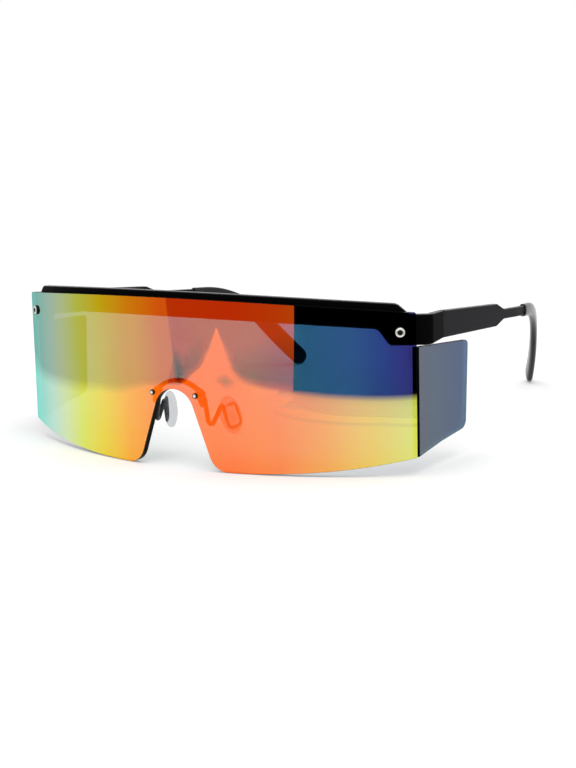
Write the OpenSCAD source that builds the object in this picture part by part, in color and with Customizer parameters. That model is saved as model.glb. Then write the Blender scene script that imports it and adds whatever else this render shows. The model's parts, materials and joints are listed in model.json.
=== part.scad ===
// Shield sunglasses with side lenses, open and stood on a table on the lens and the ear tips.
// X runs to the wearer's left, Y from the front of the lens back to the ear tips, Z up.
// The pieces are drawn level, from the corner height of the front lens down, and then
// tilted a little as one, so that the lens and both tips touch the table.
// Left and right are the wearer's, and a right piece is the mirror image of its left one.

/* [Front lens] */
// Width of the front lens from corner to corner
lens_w = 140; // [134:1:146]
// Radius of the cylinder that the front lens is cut from
lens_r = 135; // [125:1:150]
// Thickness of the front lens
lens_t = 2; // [1.6:0.1:2.4]
// Rise of the top edge from its corners to the middle
lens_rise = 3.4; // [2:0.1:5]
// Height of the side edges
lens_side_h = 41.8; // [38:0.1:44]
// Depth of the lower edge at the middle, below the top corners
lens_drop = 47.6; // [46:0.1:50]
// Power of the lower edge's rise to the sides: 2 is a parabola, and more is flatter in the middle
lens_low_power = 3; // [2:0.5:4]
// Rounding of the outer corners
lens_corner_r = 0.6; // [0.3:0.1:1.5]

/* [Nose notch] */
// Depth of the top of the notch below the lens's top corners
notch_drop = 23.7; // [22:0.1:25]
// Radius of the top of the notch
notch_r = 7.1; // [6.5:0.1:7.6]
// Angle of the notch's sides from upright, in degrees
notch_flare = 20.2; // [18:0.1:22]
// Rounding where the notch meets the lower edge
notch_foot_r = 6.3; // [4:0.1:7]

/* [Brow bar] */
// Thickness of the metal of the bar and of the temple plates
metal_t = 2; // [1.6:0.1:2.4]
// Height of the bar's top edge at the middle, above the lens's top corners
bar_top = 5.1; // [4.5:0.1:6.5]
// Depth of the bar's lower edge at the middle
bar_low = 2.5; // [1.5:0.1:3]
// Fall of both edges from the middle to the shoulders
bar_fall = 2.7; // [2:0.1:3.5]
// Distance of the top shoulder in from the lens's corner
shoulder_in = 5; // [4:0.1:6]
// Distance of the lower shoulder in from the lens's corner
low_shoulder_in = 9.9; // [9:0.1:12]
// Depth of the top of the end pieces below the lens's top corners
end_top = 0.7; // [0:0.1:0.8]
// Depth of the underside of the end pieces below the lens's top corners
end_h = 9.5; // [9:0.1:10.5]
// Outside radius of the corner that turns into the side
end_corner_r = 2.6; // [2.5:0.1:3.5]

/* [Side lenses] */
// Length of the side lens from the front lens's corner
side_len = 28.8; // [24:0.1:32]
// Thickness of the side lens
side_t = 1.5; // [1.2:0.1:1.8]
// Angle at which the side lens opens to the rear, in degrees
side_splay = 6; // [4:0.5:8]
// Gap between the end piece and the top of the side lens
side_top_gap = 0.4; // [0.3:0.1:1]
// Height of the rear edge
side_rear_h = 26; // [22:0.1:28]

/* [Nose bridge and arms] */
// Height of the bridge strip's top above the top of the notch
bridge_rise = 2.9; // [2:0.1:4]
// Outer radius of the bridge strip
bridge_r = 11.8; // [11:0.1:13]
// Width of the bridge strip
bridge_w = 1.35; // [1.2:0.05:1.6]
// Thickness of the bridge's sheet
bridge_t = 0.9; // [0.8:0.1:1.2]
// Diameter of the arm's wire
arm_wire_d = 1.4; // [1.2:0.1:1.5]
// Diameter of the flattened wire of the pad loop
loop_wire_d = 0.8; // [0.7:0.1:0.9]

/* [Nose pads] */
// Height of a nose pad
pad_h = 12; // [11:0.1:13]
// Width of a nose pad
pad_w = 6.8; // [6.6:0.1:8]
// Thickness of a nose pad
pad_t = 4.2; // [3.8:0.1:4.5]
// Distance of the pad loop from the middle line
pad_x = 12.2; // [11.5:0.1:13]
// Distance of the pad loop behind the front of the lens
pad_back = 12.9; // [12:0.1:15]
// Depth of the pad loop's centre below the top of the notch
pad_fall = 9.2; // [8:0.1:10.5]

/* [Lens screws] */
// Distance of the end screws in from the lens's corners
end_screw_in = 3.2; // [2.8:0.1:4]
// Depth of the end screws below the lens's top corners
end_screw_drop = 5.4; // [5:0.1:6]
// Diameter of the end screw's head
end_head_d = 2.9; // [2.6:0.1:3.2]
// Diameter of the end screw's thread
end_screw_d = 1.4; // [1.2:0.1:1.6]
// Distance of the bridge screws from the middle line
bridge_screw_x = 7.8; // [7.5:0.1:8.2]
// Depth of the bridge screws below the top of the notch
bridge_screw_fall = 1.5; // [1.2:0.1:1.9]
// Diameter of the bridge screw's head
bridge_head_d = 1.6; // [1.4:0.1:1.8]
// Diameter of the bridge screw's thread
bridge_screw_d = 1; // [0.9:0.1:1.1]
// Thickness of the bush's flange, which holds the lens off the metal
flange_t = 0.2; // [0.15:0.05:0.5]

/* [Hinges] */
// Distance of the temple's outer face out from the lens's corner, at the hinge
hinge_out = 2.6; // [2.3:0.1:4]
// Distance of the hinge behind the lens's corners
hinge_y = 13.7; // [13:0.1:16]
// Diameter of the hinge knuckles
knuckle_d = 3; // [2.8:0.1:3.2]
// Height of the three knuckles together
hinge_h = 5.2; // [4.8:0.1:5.6]
// Diameter of the hinge screw
pin_d = 1.2; // [1:0.1:1.4]
// Thickness of the hinge leaves
leaf_t = 0.9; // [0.8:0.1:1]
// Length of a hinge leaf from the pin
leaf_len = 5.5; // [4.5:0.1:6]

/* [Temples] */
// Depth of the temple's centre line below the lens's top corners, at the hinge
temple_drop = 4.75; // [4.5:0.05:5]
// Height of the temple at the hinge
temple_h = 7.9; // [7.4:0.1:8.4]
// Height of the wide part at its rear end
wide_h = 7; // [6.4:0.1:7.6]
// Length of the wide part
wide_len = 44; // [40:0.5:50]
// Length over which the wide part narrows to the arm
neck_len = 6.5; // [6:0.5:8]
// Height of the narrow arm
arm_h = 3.1; // [2.6:0.1:3.6]
// Thickness of the narrow arm
arm_t = 1.4; // [1.2:0.1:1.6]
// Angle at which the temple turns in to the rear, in degrees
temple_splay = 4.6; // [3:0.1:6]
// Angle at which the temple falls to the rear, in degrees
temple_slope = 3.9; // [3:0.1:5]
// Length of the narrow arm before it curves inwards
arm_straight_len = 9.5; // [5:0.5:12]
// Length of the curved arm before the tip
arm_curved_len = 10.5; // [8:0.5:14]
// Radius of the inward curve
inward_r = 120; // [110:1:150]

/* [Temple tips] */
// Length of the tip before the ear bend
tip_front_len = 5.9; // [4:0.1:9]
// Radius of the ear bend
bend_r = 38.2; // [34:0.5:44]
// Angle of the ear bend, in degrees
bend_angle = 44; // [38:0.5:48]
// Length of the straight part after the bend, with its round end
tip_len = 24.5; // [22:0.5:32]
// Height of the tip at its front end
tip_h = 4.1; // [3.8:0.1:4.4]
// Height of the paddle
paddle_h = 6.5; // [5.5:0.1:7.5]
// Thickness of the tip
tip_t = 2.5; // [2.4:0.1:3]

/* [Hidden] */
// Overrun of every cut past the face that it goes through
cut = 1;
// Clearance of parts that are pushed or screwed together
snug = 0.03;
// Clearance of the hinge screw in its knuckles, and between the knuckles
running = 0.05;
// Thickness of the clear bond between the front and side lenses
bond_t = 0.1;
// Half the gap at the hinge split, and the bevel on both sides of it
split = 0.08;
split_bevel = 0.45;
// Sides of a true round, and steps of a drawn curve and of a drawn corner
round_fn = 96;
curve_steps = 16;
corner_steps = 8;

// Places worked out from the sizes above
half_w = lens_w / 2;
axis_y = sqrt(lens_r * lens_r - half_w * half_w);
sag = lens_r - axis_y;
shoulder_x = half_w - shoulder_in;
low_shoulder_x = half_w - low_shoulder_in;
bridge_drop = notch_drop - bridge_rise;
pad_drop = notch_drop + pad_fall;
end_screw_x = half_w - end_screw_in;
bridge_screw_drop = notch_drop + bridge_screw_fall;
hinge_x = half_w + hinge_out;
straight_len = wide_len + neck_len + arm_straight_len;
tip_from = straight_len + arm_curved_len;
bend_from = tip_from + tip_front_len;
bar_depth = lens_t + flange_t + 2 * snug;
bar_front_r = lens_r - bar_depth;
bridge_back_depth = bar_depth + bridge_t;
temple_top_z = temple_h / 2 - temple_drop;
temple_low_z = -temple_h / 2 - temple_drop;
pin_x = -metal_t - knuckle_d / 2 - running;
pin_z = -temple_drop;
full_h = lens_rise + lens_drop + bar_top;

// Unit vector and a point's place after the turns of rotate([a.x, a.y, a.z])
function unit(v) = v / norm(v);
function turn_x(p, a) = [p.x, p.y * cos(a) - p.z * sin(a), p.y * sin(a) + p.z * cos(a)];
function turn_y(p, a) = [p.x * cos(a) + p.z * sin(a), p.y, p.z * cos(a) - p.x * sin(a)];
function turn_z(p, a) = [p.x * cos(a) - p.y * sin(a), p.x * sin(a) + p.y * cos(a), p.z];
function turned(p, a) = turn_z(turn_y(turn_x(p, a.x), a.y), a.z);

// An arc of radius r in place of the corner b between a and c, in the plane or in space
function corner(a, b, c, r) =
    let (
        u = unit(a - b),
        v = unit(c - b),
        half = acos(u * v) / 2,
        centre = b + unit(u + v) * r / sin(half),
        from = b + u * r / tan(half) - centre,
        to = b + v * r / tan(half) - centre,
        sweep = 180 - 2 * half
    )
    [for (i = [0:corner_steps])
        let (t = i / corner_steps)
        centre + (from * sin((1 - t) * sweep) + to * sin(t * sweep)) / sin(sweep)];

// A path through corner points, each rounded by its own radius, or left sharp at 0
function rounded(points, radii) =
    let (n = len(points))
    [for (i = [0:n - 1])
        each radii[i] == 0 ? [points[i]]
            : corner(points[(i + n - 1) % n], points[i], points[(i + 1) % n], radii[i])];

function mirrored(points) = [for (i = [len(points) - 1:-1:0]) [-points[i].x, points[i].y]];

// Edges of the front lens, from the middle line outwards
function lens_top(x) = lens_rise * (1 - pow(x / half_w, 2));
function lens_bottom(x) = -lens_drop + (lens_drop - lens_side_h) * pow(abs(x) / half_w, lens_low_power);
function lens_y(x, depth) = axis_y - sqrt(pow(lens_r - depth, 2) - x * x);

// The notch's sides run up to a point, which its top radius then rounds
notch_point_z = -notch_drop + notch_r * (1 / sin(notch_flare) - 1);
notch_slope = tan(notch_flare);
foot_tries = 6;
function foot_after(x, n) = n <= 0 ? x : foot_after(notch_slope * (notch_point_z - lens_bottom(x)), n - 1);
notch_foot_x = foot_after(0, foot_tries);
edge_from_x = notch_foot_x + notch_foot_r;

lens_half = concat(
    rounded(
        [[0, notch_point_z], [notch_foot_x, lens_bottom(notch_foot_x)], [edge_from_x, lens_bottom(edge_from_x)]],
        [0, notch_foot_r, 0]),
    [for (i = [1:curve_steps - 1])
        let (x = edge_from_x + (half_w - edge_from_x) * i / curve_steps)
        [x, lens_bottom(x)]],
    corner([half_w / 2, lens_bottom(half_w)], [half_w, lens_bottom(half_w)], [half_w, 0], lens_corner_r),
    corner([half_w, lens_bottom(half_w)], [half_w, 0], [half_w / 2, lens_top(half_w / 2)], lens_corner_r),
    [for (i = [1:curve_steps])
        let (x = half_w * (1 - i / curve_steps))
        [x, lens_top(x)]]);
notch_left = lens_half[1];
lens_outline = concat(
    corner([-notch_left.x, notch_left.y], [0, notch_point_z], notch_left, notch_r),
    [for (i = [1:len(lens_half) - 1]) lens_half[i]],
    [for (i = [len(lens_half) - 2:-1:1]) [-lens_half[i].x, lens_half[i].y]]);

// The brow bar seen from the front, with both shoulders and the start of the end pieces
function bar_edge(z, x) = z - bar_fall * pow(x / shoulder_x, 2);
shoulder_r = 2;
top_shoulder_r = 3;
top_step = 3.1;
low_step = 3;
bar_end_x = half_w - lens_corner_r;
bar_half = concat(
    [for (i = [0:curve_steps - 1])
        let (x = low_shoulder_x * i / curve_steps)
        [x, bar_edge(-bar_low, x)]],
    rounded(
        [[low_shoulder_x / 2, bar_edge(-bar_low, low_shoulder_x)],
            [low_shoulder_x, bar_edge(-bar_low, low_shoulder_x)],
            [low_shoulder_x + low_step, -end_h],
            [bar_end_x, -end_h],
            [bar_end_x, -end_top],
            [shoulder_x + top_step, -end_top],
            [shoulder_x, bar_edge(bar_top, shoulder_x)],
            [shoulder_x / 2, bar_edge(bar_top, shoulder_x)]],
        [0, shoulder_r, shoulder_r, 0, 0, shoulder_r / 2, top_shoulder_r, 0]),
    [for (i = [1:curve_steps])
        let (x = shoulder_x * (1 - i / curve_steps))
        [x, bar_edge(bar_top, x)]]);
bar_right_part = [for (i = [0:len(bar_half) - 1])
    if (i != curve_steps && i != len(bar_half) - curve_steps - 1) bar_half[i]];
bar_outline = concat(bar_right_part, mirrored([for (i = [1:len(bar_right_part) - 2]) bar_right_part[i]]));

// Centre of the corner where the bar turns into the side, tangent to the bar and the temple
corner_at = let (
        d = [-sin(temple_splay), cos(temple_splay)],
        n = [cos(temple_splay), sin(temple_splay)],
        m = [hinge_x, hinge_y - axis_y] - end_corner_r * n,
        k = bar_front_r - end_corner_r,
        q = -(m * d) - sqrt(pow(m * d, 2) - m * m + k * k)
    )
    [m.x + q * d.x, m.y + axis_y + q * d.y];
corner_from = atan2(corner_at.y - axis_y, corner_at.x);
function corner_arc(r) =
    [for (i = [0:corner_steps])
        let (a = corner_from + (temple_splay - corner_from) * i / corner_steps)
        corner_at + r * [cos(a), sin(a)]];
function from_hinge(p) =
    [hinge_x + p.x * cos(temple_splay) - p.y * sin(temple_splay),
        hinge_y + p.x * sin(temple_splay) + p.y * cos(temple_splay)];
corner_seam_x = bar_end_x - lens_t / 2;
end_plan = concat(
    [[corner_seam_x, lens_y(corner_seam_x, bar_depth)]],
    corner_arc(end_corner_r),
    [from_hinge([0, -split - split_bevel]), from_hinge([-split_bevel, -split]), from_hinge([-metal_t, -split])],
    [for (i = [corner_steps:-1:0]) corner_arc(end_corner_r - metal_t)[i]],
    [[corner_seam_x, lens_y(corner_seam_x, bar_depth + metal_t)]]);
end_level_y = 3.2;
end_side = rounded(
    [[-sag, -end_top], [end_level_y, -end_top], [hinge_y, temple_top_z], [hinge_y + cut, temple_top_z],
        [hinge_y + cut, temple_low_z], [hinge_y, temple_low_z], [end_level_y, -end_h], [-sag, -end_h]],
    [0, shoulder_r, 0, 0, 0, 0, shoulder_r, 0]);

// The temple's centre line seen from the side: distance along it to [y, z, angle down]
bend_end = bend_from + bend_r * bend_angle * PI / 180;
tip_end = bend_end + tip_len;
function bend_turn(s) = (min(s, bend_end) - bend_from) / bend_r * 180 / PI;
function line_at(s) =
    let (
        a = temple_slope,
        b = a + bend_turn(s),
        start = [min(s, bend_from) * cos(a), -temple_drop - min(s, bend_from) * sin(a)],
        curve = bend_r * [sin(b) - sin(a), cos(b) - cos(a)],
        run = (s - bend_end) * [cos(b), -sin(b)]
    )
    s <= bend_from ? [start.x, start.y, a]
        : s <= bend_end ? [start.x + curve.x, start.y + curve.y, b]
        : [start.x + curve.x + run.x, start.y + curve.y + run.y, b];
function edge_at(s, h) =
    let (p = line_at(s))
    [p.x + h * sin(p.z), p.y + h * cos(p.z)];

// The inward curve of the arm and the tip, seen from above
arm_mid_r = inward_r - arm_t / 2;
function inward(y) = max(y - straight_len, 0);
function yaw_at(y) = asin(inward(y) / arm_mid_r);
function mid_x(y) = sqrt(arm_mid_r * arm_mid_r - pow(inward(y), 2)) - inward_r;

core_h = 1.8;
core_share = 0.8;
core_to = tip_from + (tip_end - tip_from) * core_share;
core_steps = 14;
temple_side = let (
        wide = [for (e = [1, -1]) edge_at(wide_len, e * wide_h / 2)],
        arm = [for (e = [1, -1]) edge_at(wide_len + neck_len, e * arm_h / 2)],
        end = [for (e = [1, -1]) edge_at(tip_from, e * arm_h / 2)],
        core = [for (i = [0:core_steps]) tip_from + (core_to - tip_from) * i / core_steps]
    )
    concat(
        rounded(
            [[split, temple_low_z], wide[1], arm[1], end[1]],
            [0, neck_len / 2, neck_len / 2, 0]),
        [for (s = core) edge_at(s, -core_h / 2)],
        [for (i = [core_steps:-1:0]) edge_at(core[i], core_h / 2)],
        rounded(
            [end[0], arm[0], wide[0], [split, temple_top_z]],
            [0, neck_len / 2, neck_len / 2, 0]));

// Rings of the swept ear tip, with soft edges and a round end
tip_sides = 16;
ring_steps = 22;
end_steps = 6;
paddle_from_share = 0.8;
soft_share = 0.75;
tip_edge_r = 0.6;
function soft(v) = sign(v) * pow(abs(v), soft_share);
function tip_height(s) =
    let (t = min((s - tip_from) / ((tip_end - tip_from) * paddle_from_share), 1))
    tip_h + (paddle_h - tip_h) * t * t * (3 - 2 * t);
round_from = tip_end - paddle_h / 2;
function ring(s, shrink) =
    let (
        p = line_at(s),
        yaw = yaw_at(p.x),
        centre = [mid_x(p.x), p.x, p.y],
        across = [cos(yaw), sin(yaw), 0],
        along = unit([-tan(yaw) * cos(p.z), cos(p.z), -sin(p.z)]),
        up = cross(across, along)
    )
    [for (i = [0:tip_sides - 1])
        let (a = 360 * (i + 1 / 2) / tip_sides)
        centre + shrink * (across * soft(cos(a)) * tip_t + up * soft(sin(a)) * tip_height(s)) / 2];
tip_rings = concat(
    [ring(tip_from, 1 - tip_edge_r / tip_h)],
    [for (i = [0:ring_steps])
        let (lead = tip_edge_r / 2)
        ring(tip_from + lead + (round_from - tip_from - lead) * i / ring_steps, 1)],
    [for (i = [1:end_steps])
        let (a = 90 * i / (end_steps + 1 / 3))
        ring(round_from + paddle_h / 2 * sin(a), cos(a))]);

// Size of the nuts behind the bridge screws, and the arm's gap below them
nut_w = 2;
nut_t = 1;
arm_top_gap = 0.4;

// The loop in the nose pad, and the wire arm that carries it
pad_back_angle = 14;
pad_in_angle = 8;
pad_splay_angle = 30;
loop_len = 7;
loop_w = 4.2;
loop_r = 1.3;
arm_bend_r = 1.2;
arm_seat_x = 8.4;
arm_lean = 8.6;
arm_low_fall = 12.7;
tail_fall = 4.4;
arm_top_drop = bridge_screw_drop + nut_w / 2 + arm_top_gap;
arm_low_drop = notch_drop + arm_low_fall;
tail_drop = notch_drop + tail_fall;
function arm_x(drop) = arm_seat_x + (drop - arm_top_drop) * tan(arm_lean);
arm_curl_up = 1.3;
pad_y = pad_back - sag;
pad_turn = [pad_back_angle, -pad_in_angle, 0];
function in_pad(p) = turned(turn_z(p, -pad_splay_angle), pad_turn) + [pad_x, pad_y, -pad_drop];
arm_y = lens_y(arm_x(tail_drop), bridge_back_depth) + arm_wire_d / 2 + snug;
arm_corners = [
    [arm_x(arm_top_drop), arm_y, -arm_top_drop],
    [arm_x(arm_low_drop), arm_y, -arm_low_drop],
    in_pad([0, -loop_w / 2, loop_len / 2 + arm_curl_up]),
    in_pad([0, -loop_w / 2, -loop_len / 2]),
    in_pad([0, loop_w / 2, -loop_len / 2]),
    in_pad([0, loop_w / 2, loop_len / 2]),
    in_pad([0, -loop_w / 2 + 2 * loop_wire_d, loop_len / 2])];
arm_path = rounded(arm_corners, [0, arm_bend_r, arm_bend_r / 2, loop_r, loop_r, loop_r, 0]);
wire_sides = 8;

// A tube along a path, whose radius at each point is given
function tangents(path) =
    [for (i = [0:len(path) - 1])
        unit(path[min(i + 1, len(path) - 1)] - path[max(i - 1, 0)])];
function level(v, t) = unit(v - (v * t) * t);
function normals(path) =
    let (t = tangents(path))
    [for (i = 0, n = level([1, 0, 0], t[0]); i < len(path);
        i = i + 1, n = i < len(path) ? level(n, t[i]) : n) n];
function tube_rings(path, radii, sides) =
    let (t = tangents(path), n = normals(path))
    [for (i = [0:len(path) - 1])
        [for (k = [0:sides - 1])
            path[i] + radii[i] * (n[i] * cos(360 * k / sides) + cross(t[i], n[i]) * sin(360 * k / sides))]];

// A closed skin over rings of equally many points
module skin(rings) {
    count = len(rings[0]);
    polyhedron(
        points = [for (r = rings) each r],
        faces = concat(
            [[for (k = [0:count - 1]) k]],
            [for (i = [0:len(rings) - 2]) for (k = [0:count - 1])
                let (a = i * count + k, b = i * count + (k + 1) % count)
                each [[a, a + count, b], [b, a + count, b + count]]],
            [[for (k = [count - 1:-1:0]) (len(rings) - 1) * count + k]]));
}

// How the glasses stand: tilted until the lens and the tips are equally low
function rear(points) = [for (p = points) [from_hinge(p).x, from_hinge(p).y, p.z]];
tip_points = rear([for (r = tip_rings) each r]);
lens_points = [for (p = lens_outline) for (depth = [0, lens_t]) [p.x, lens_y(p.x, depth), p.y]];
function low(points, a) = min([for (p = points) turn_x(p, a).z]);
function settled(a, n) =
    n <= 0 ? a
        : settled(a - atan((low(tip_points, a) - low(lens_points, a)) / lens_w), n - 1);
settle_steps = 6;
rest_tilt = settled(0, settle_steps);
head_h = 0.75;
bridge_head_h = 0.5;
front_point = turn_x([0, -sag - bridge_head_h, -bridge_screw_drop], rest_tilt);
rear_y = max([for (p = tip_points) turn_x(p, rest_tilt).y]);
rest_shift = [0, -(front_point.y + rear_y) / 2, -low(lens_points, rest_tilt)];
function rested(p) = turn_x(p, rest_tilt) + rest_shift;

module stood() {
    translate(rest_shift) rotate([rest_tilt, 0, 0]) children();
}

module right() {
    mirror([1, 0, 0]) children();
}

// A wall parallel to the front lens, whose front lies depth behind the lens's front
module curved_wall(depth, thick) {
    translate([0, axis_y, -lens_drop - cut]) difference() {
        cylinder(r = lens_r - depth, h = full_h + 2 * cut, $fn = 2 * round_fn);
        translate([0, 0, -cut])
            cylinder(r = lens_r - depth - thick, h = full_h + 4 * cut, $fn = 2 * round_fn);
    }
}

// An outline seen from the front, drawn out from before the lens to behind the corners
module from_front(outline) {
    translate([0, sag, 0]) rotate([90, 0, 0])
        linear_extrude(height = 2 * sag + 2 * cut) polygon(outline);
}

// An outline seen from the side, drawn out from x = 0 outwards
module from_side(outline, reach) {
    rotate([90, 0, 90]) linear_extrude(height = reach) polygon(outline);
}

// A place on the front face of the lens, with Z pointing straight out of it
module on_lens(x, drop) {
    translate([0, axis_y, -drop]) rotate([0, 0, asin(x / lens_r)])
        translate([0, -lens_r, 0]) rotate([90, 0, 0]) children();
}

module each_end_screw() {
    for (side = [-1, 1]) on_lens(side * end_screw_x, end_screw_drop) children();
}

module each_bridge_screw() {
    for (side = [-1, 1]) on_lens(side * bridge_screw_x, bridge_screw_drop) children();
}

// A hole through everything behind a place on the lens
module hole(d) {
    translate([0, 0, -bar_depth - metal_t - cut])
        cylinder(d = d, h = bar_depth + metal_t + 2 * cut, $fn = round_fn / 2);
}

// Sizes of the bushes, which line the lens's holes
bush_wall = 0.25;
end_bush_d = end_screw_d + 2 * bush_wall;
bridge_bush_d = bridge_screw_d + 2 * bush_wall;

module shield_lens() {
    color("darkorange", 0.8) stood() difference() {
        intersection() {
            curved_wall(0, lens_t);
            from_front(lens_outline);
        }
        each_end_screw() hole(end_bush_d + 2 * snug);
        each_bridge_screw() hole(bridge_bush_d + 2 * snug);
    }
}

module end_piece() {
    intersection() {
        translate([0, 0, -lens_drop]) linear_extrude(height = full_h) polygon(end_plan);
        from_side(end_side, lens_w);
    }
}

module brow_bar() {
    color("#101012") stood() difference() {
        union() {
            intersection() {
                curved_wall(bar_depth, metal_t);
                from_front(bar_outline);
            }
            end_piece();
            right() end_piece();
        }
        each_end_screw() hole(end_screw_d + snug);
    }
}

// The side lens leans out to the rear, and its front edge is cut to the back of the front lens
side_front_top = end_h + side_top_gap;
side_top_fall = 1.3;
side_rear_top = side_front_top + side_top_fall;
side_low_mid_y = 13.1;
side_low_mid_rise = 2.6;
side_low_mid_drop = lens_side_h - side_low_mid_rise;
side_outline = rounded(
    [[-sag, -side_front_top], [0, -side_front_top], [side_len, -side_rear_top],
        [side_len - side_t, -side_rear_top - side_rear_h], [side_low_mid_y, -side_low_mid_drop],
        [0, -lens_side_h], [-sag, -lens_side_h]],
    [0, 0, side_t, 2 * side_t, 0, 0, 0]);

module side_lens() {
    color("#5F6C8C", 0.85) intersection() {
        translate([half_w, 0, 0]) rotate([0, 0, -side_splay]) translate([-side_t, 0, 0])
            from_side(side_outline, side_t);
        translate([0, axis_y, -lens_drop])
            cylinder(r = lens_r - lens_t - bond_t, h = full_h, $fn = 2 * round_fn);
    }
}

module side_lens_left() {
    stood() side_lens();
}

module side_lens_right() {
    stood() right() side_lens();
}

// A screw head with a soft edge, standing on z = 0
module head(d, h) {
    rotate_extrude($fn = round_fn / 2)
        polygon(concat([[0, 0], [d / 2, 0]], rounded(
            [[d / 2, 0], [d / 2, h], [0, h]], [0, h / 2, 0])));
}

socket_share = 0.55;
screw_end = 0.3;

module end_screws() {
    color("silver") stood() each_end_screw() difference() {
        union() {
            translate([0, 0, snug]) head(end_head_d, head_h);
            translate([0, 0, -bar_depth - metal_t - screw_end])
                cylinder(d = end_screw_d, h = bar_depth + metal_t + screw_end + 2 * snug, $fn = round_fn / 2);
        }
        translate([0, 0, snug + head_h * (1 - socket_share)])
            cylinder(d = end_head_d * socket_share, h = head_h, $fn = 6);
    }
}

// A lens bush: a sleeve in the hole and a flange behind the lens
module bush(d, flange_d, bore_d) {
    difference() {
        union() {
            translate([0, 0, -lens_t - flange_t]) cylinder(d = d, h = lens_t + flange_t, $fn = round_fn / 2);
            translate([0, 0, -lens_t - flange_t - snug]) cylinder(d = flange_d, h = flange_t, $fn = round_fn / 2);
        }
        translate([0, 0, -lens_t - flange_t - cut])
            cylinder(d = bore_d, h = lens_t + flange_t + 2 * cut, $fn = round_fn / 2);
    }
}

module end_bushes() {
    color("whitesmoke") stood() each_end_screw()
        bush(end_bush_d, end_head_d, end_screw_d + snug);
}

module bridge_bushes() {
    color("whitesmoke") stood() each_bridge_screw()
        bush(bridge_bush_d, 2 * bridge_bush_d, bridge_screw_d + snug);
}

module bridge_screws() {
    color("silver") stood() each_bridge_screw() {
        translate([0, 0, snug]) head(bridge_head_d, bridge_head_h);
        translate([0, 0, -bridge_back_depth - nut_t - screw_end])
            cylinder(d = bridge_screw_d, h = bridge_back_depth + nut_t + screw_end + 2 * snug, $fn = round_fn / 2);
    }
}

module bridge_nuts() {
    color("silver") stood() each_bridge_screw()
        translate([0, 0, -bridge_back_depth - nut_t - snug]) difference() {
            cylinder(d = nut_w / cos(30), h = nut_t, $fn = 6);
            translate([0, 0, -cut]) cylinder(d = bridge_screw_d + snug, h = nut_t + 2 * cut, $fn = round_fn / 2);
        }
}

// The stamped bridge: a strip over the notch with a lug at each screw
lug_d = 3.4;
tail_d = 1.6;
bridge_mid_r = bridge_r - bridge_w / 2;
bridge_centre_z = -bridge_drop - bridge_r;
strip_half_angle = asin(bridge_screw_x / bridge_mid_r);

bridge_strip = [for (r = [bridge_r, bridge_r - bridge_w]) [for (i = [0:curve_steps])
    let (a = strip_half_angle * (2 * i / curve_steps - 1))
    [r * sin(a), bridge_centre_z + r * cos(a)]]];
strip_outline = concat(bridge_strip[0], [for (i = [curve_steps:-1:0]) bridge_strip[1][i]]);
lug_round_share = 0.48;
lug_outline = let (
        screw_at = [bridge_screw_x, -bridge_screw_drop],
        tail_at = [arm_x(tail_drop), -tail_drop],
        along = unit(tail_at - screw_at),
        side = [-along.y, along.x],
        top = screw_at - along * lug_d / 2,
        end = tail_at + along * tail_d / 2
    )
    rounded(
        [top - side * lug_d / 2, end - side * tail_d / 2, end + side * tail_d / 2, top + side * lug_d / 2],
        lug_round_share * [lug_d, tail_d, tail_d, lug_d]);

module nose_bridge() {
    color("#18181B") stood() difference() {
        intersection() {
            curved_wall(bar_depth, bridge_t);
            union() {
                from_front(strip_outline);
                from_front(lug_outline);
                from_front(mirrored(lug_outline));
            }
        }
        each_bridge_screw() hole(bridge_screw_d + 2 * snug);
    }
}

module nose_arm() {
    taper_from = 2 + corner_steps;
    taper_to = 2 * taper_from;
    radii = [for (i = [0:len(arm_path) - 1])
        let (t = max(0, min(1, (i - taper_from) / (taper_to - taper_from))))
        (arm_wire_d * (1 - t) + loop_wire_d * t) / 2];
    color("#18181B") skin(tube_rings(arm_path, radii, wire_sides));
}

module nose_arm_left() {
    stood() nose_arm();
}

module nose_arm_right() {
    stood() right() nose_arm();
}

// The soft pad: a flattened egg with a pocket for the wire loop, open at its front top
pad_sides = 20;
pad_ring_steps = 12;
pad_full_share = 0.85;
pocket_t = loop_wire_d + 2 * running;
pad_shift_x = pad_t / 2 - pocket_t;

module nose_pad() {
    rings = [for (i = [0:pad_ring_steps])
        let (a = 180 * (i + 1 / 3) / (pad_ring_steps + 2 / 3) - 90, wide = pow(cos(a), pad_full_share))
        [for (k = [0:pad_sides - 1])
            let (b = 360 * k / pad_sides)
            [pad_t / 2 * wide * cos(b) - pad_shift_x, pad_w / 2 * wide * sin(b), pad_h / 2 * sin(a)]]];
    pocket = rounded(
        [[-loop_w / 2 - loop_wire_d, -loop_len / 2 - loop_wire_d / 2 - running],
            [loop_w / 2 + loop_wire_d / 2 + running, -loop_len / 2 - loop_wire_d / 2 - running],
            [loop_w / 2 + loop_wire_d / 2 + running, loop_len / 2 + loop_wire_d / 2 + running],
            [0, loop_len / 2 + arm_curl_up],
            [-loop_w / 2, pad_h],
            [-loop_w / 2 - pad_w, pad_h],
            [-loop_w / 2 - loop_wire_d, loop_len / 2 - loop_r]],
        [0, loop_r, loop_r, 0, 0, 0, 0]);
    color("gainsboro", 0.6) translate([pad_x, pad_y, -pad_drop]) rotate(pad_turn) rotate([0, 0, -pad_splay_angle])
        difference() {
            skin(rings);
            translate([-pocket_t / 2, 0, 0]) from_side(pocket, pocket_t);
        }
}

module nose_pad_left() {
    stood() nose_pad();
}

module nose_pad_right() {
    stood() right() nose_pad();
}

// The hinge's own place: on the temple's outer face, with Y along the temple
module at_hinge() {
    translate([hinge_x, hinge_y, 0]) rotate([0, 0, temple_splay]) children();
}

module at_pin(z) {
    at_hinge() translate([pin_x, 0, pin_z + z]) children();
}

// Heights of the knuckles: the temple's in the middle and one of the front's on each side
middle_h = 2.2;
outer_h = (hinge_h - middle_h) / 2 - running;

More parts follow.
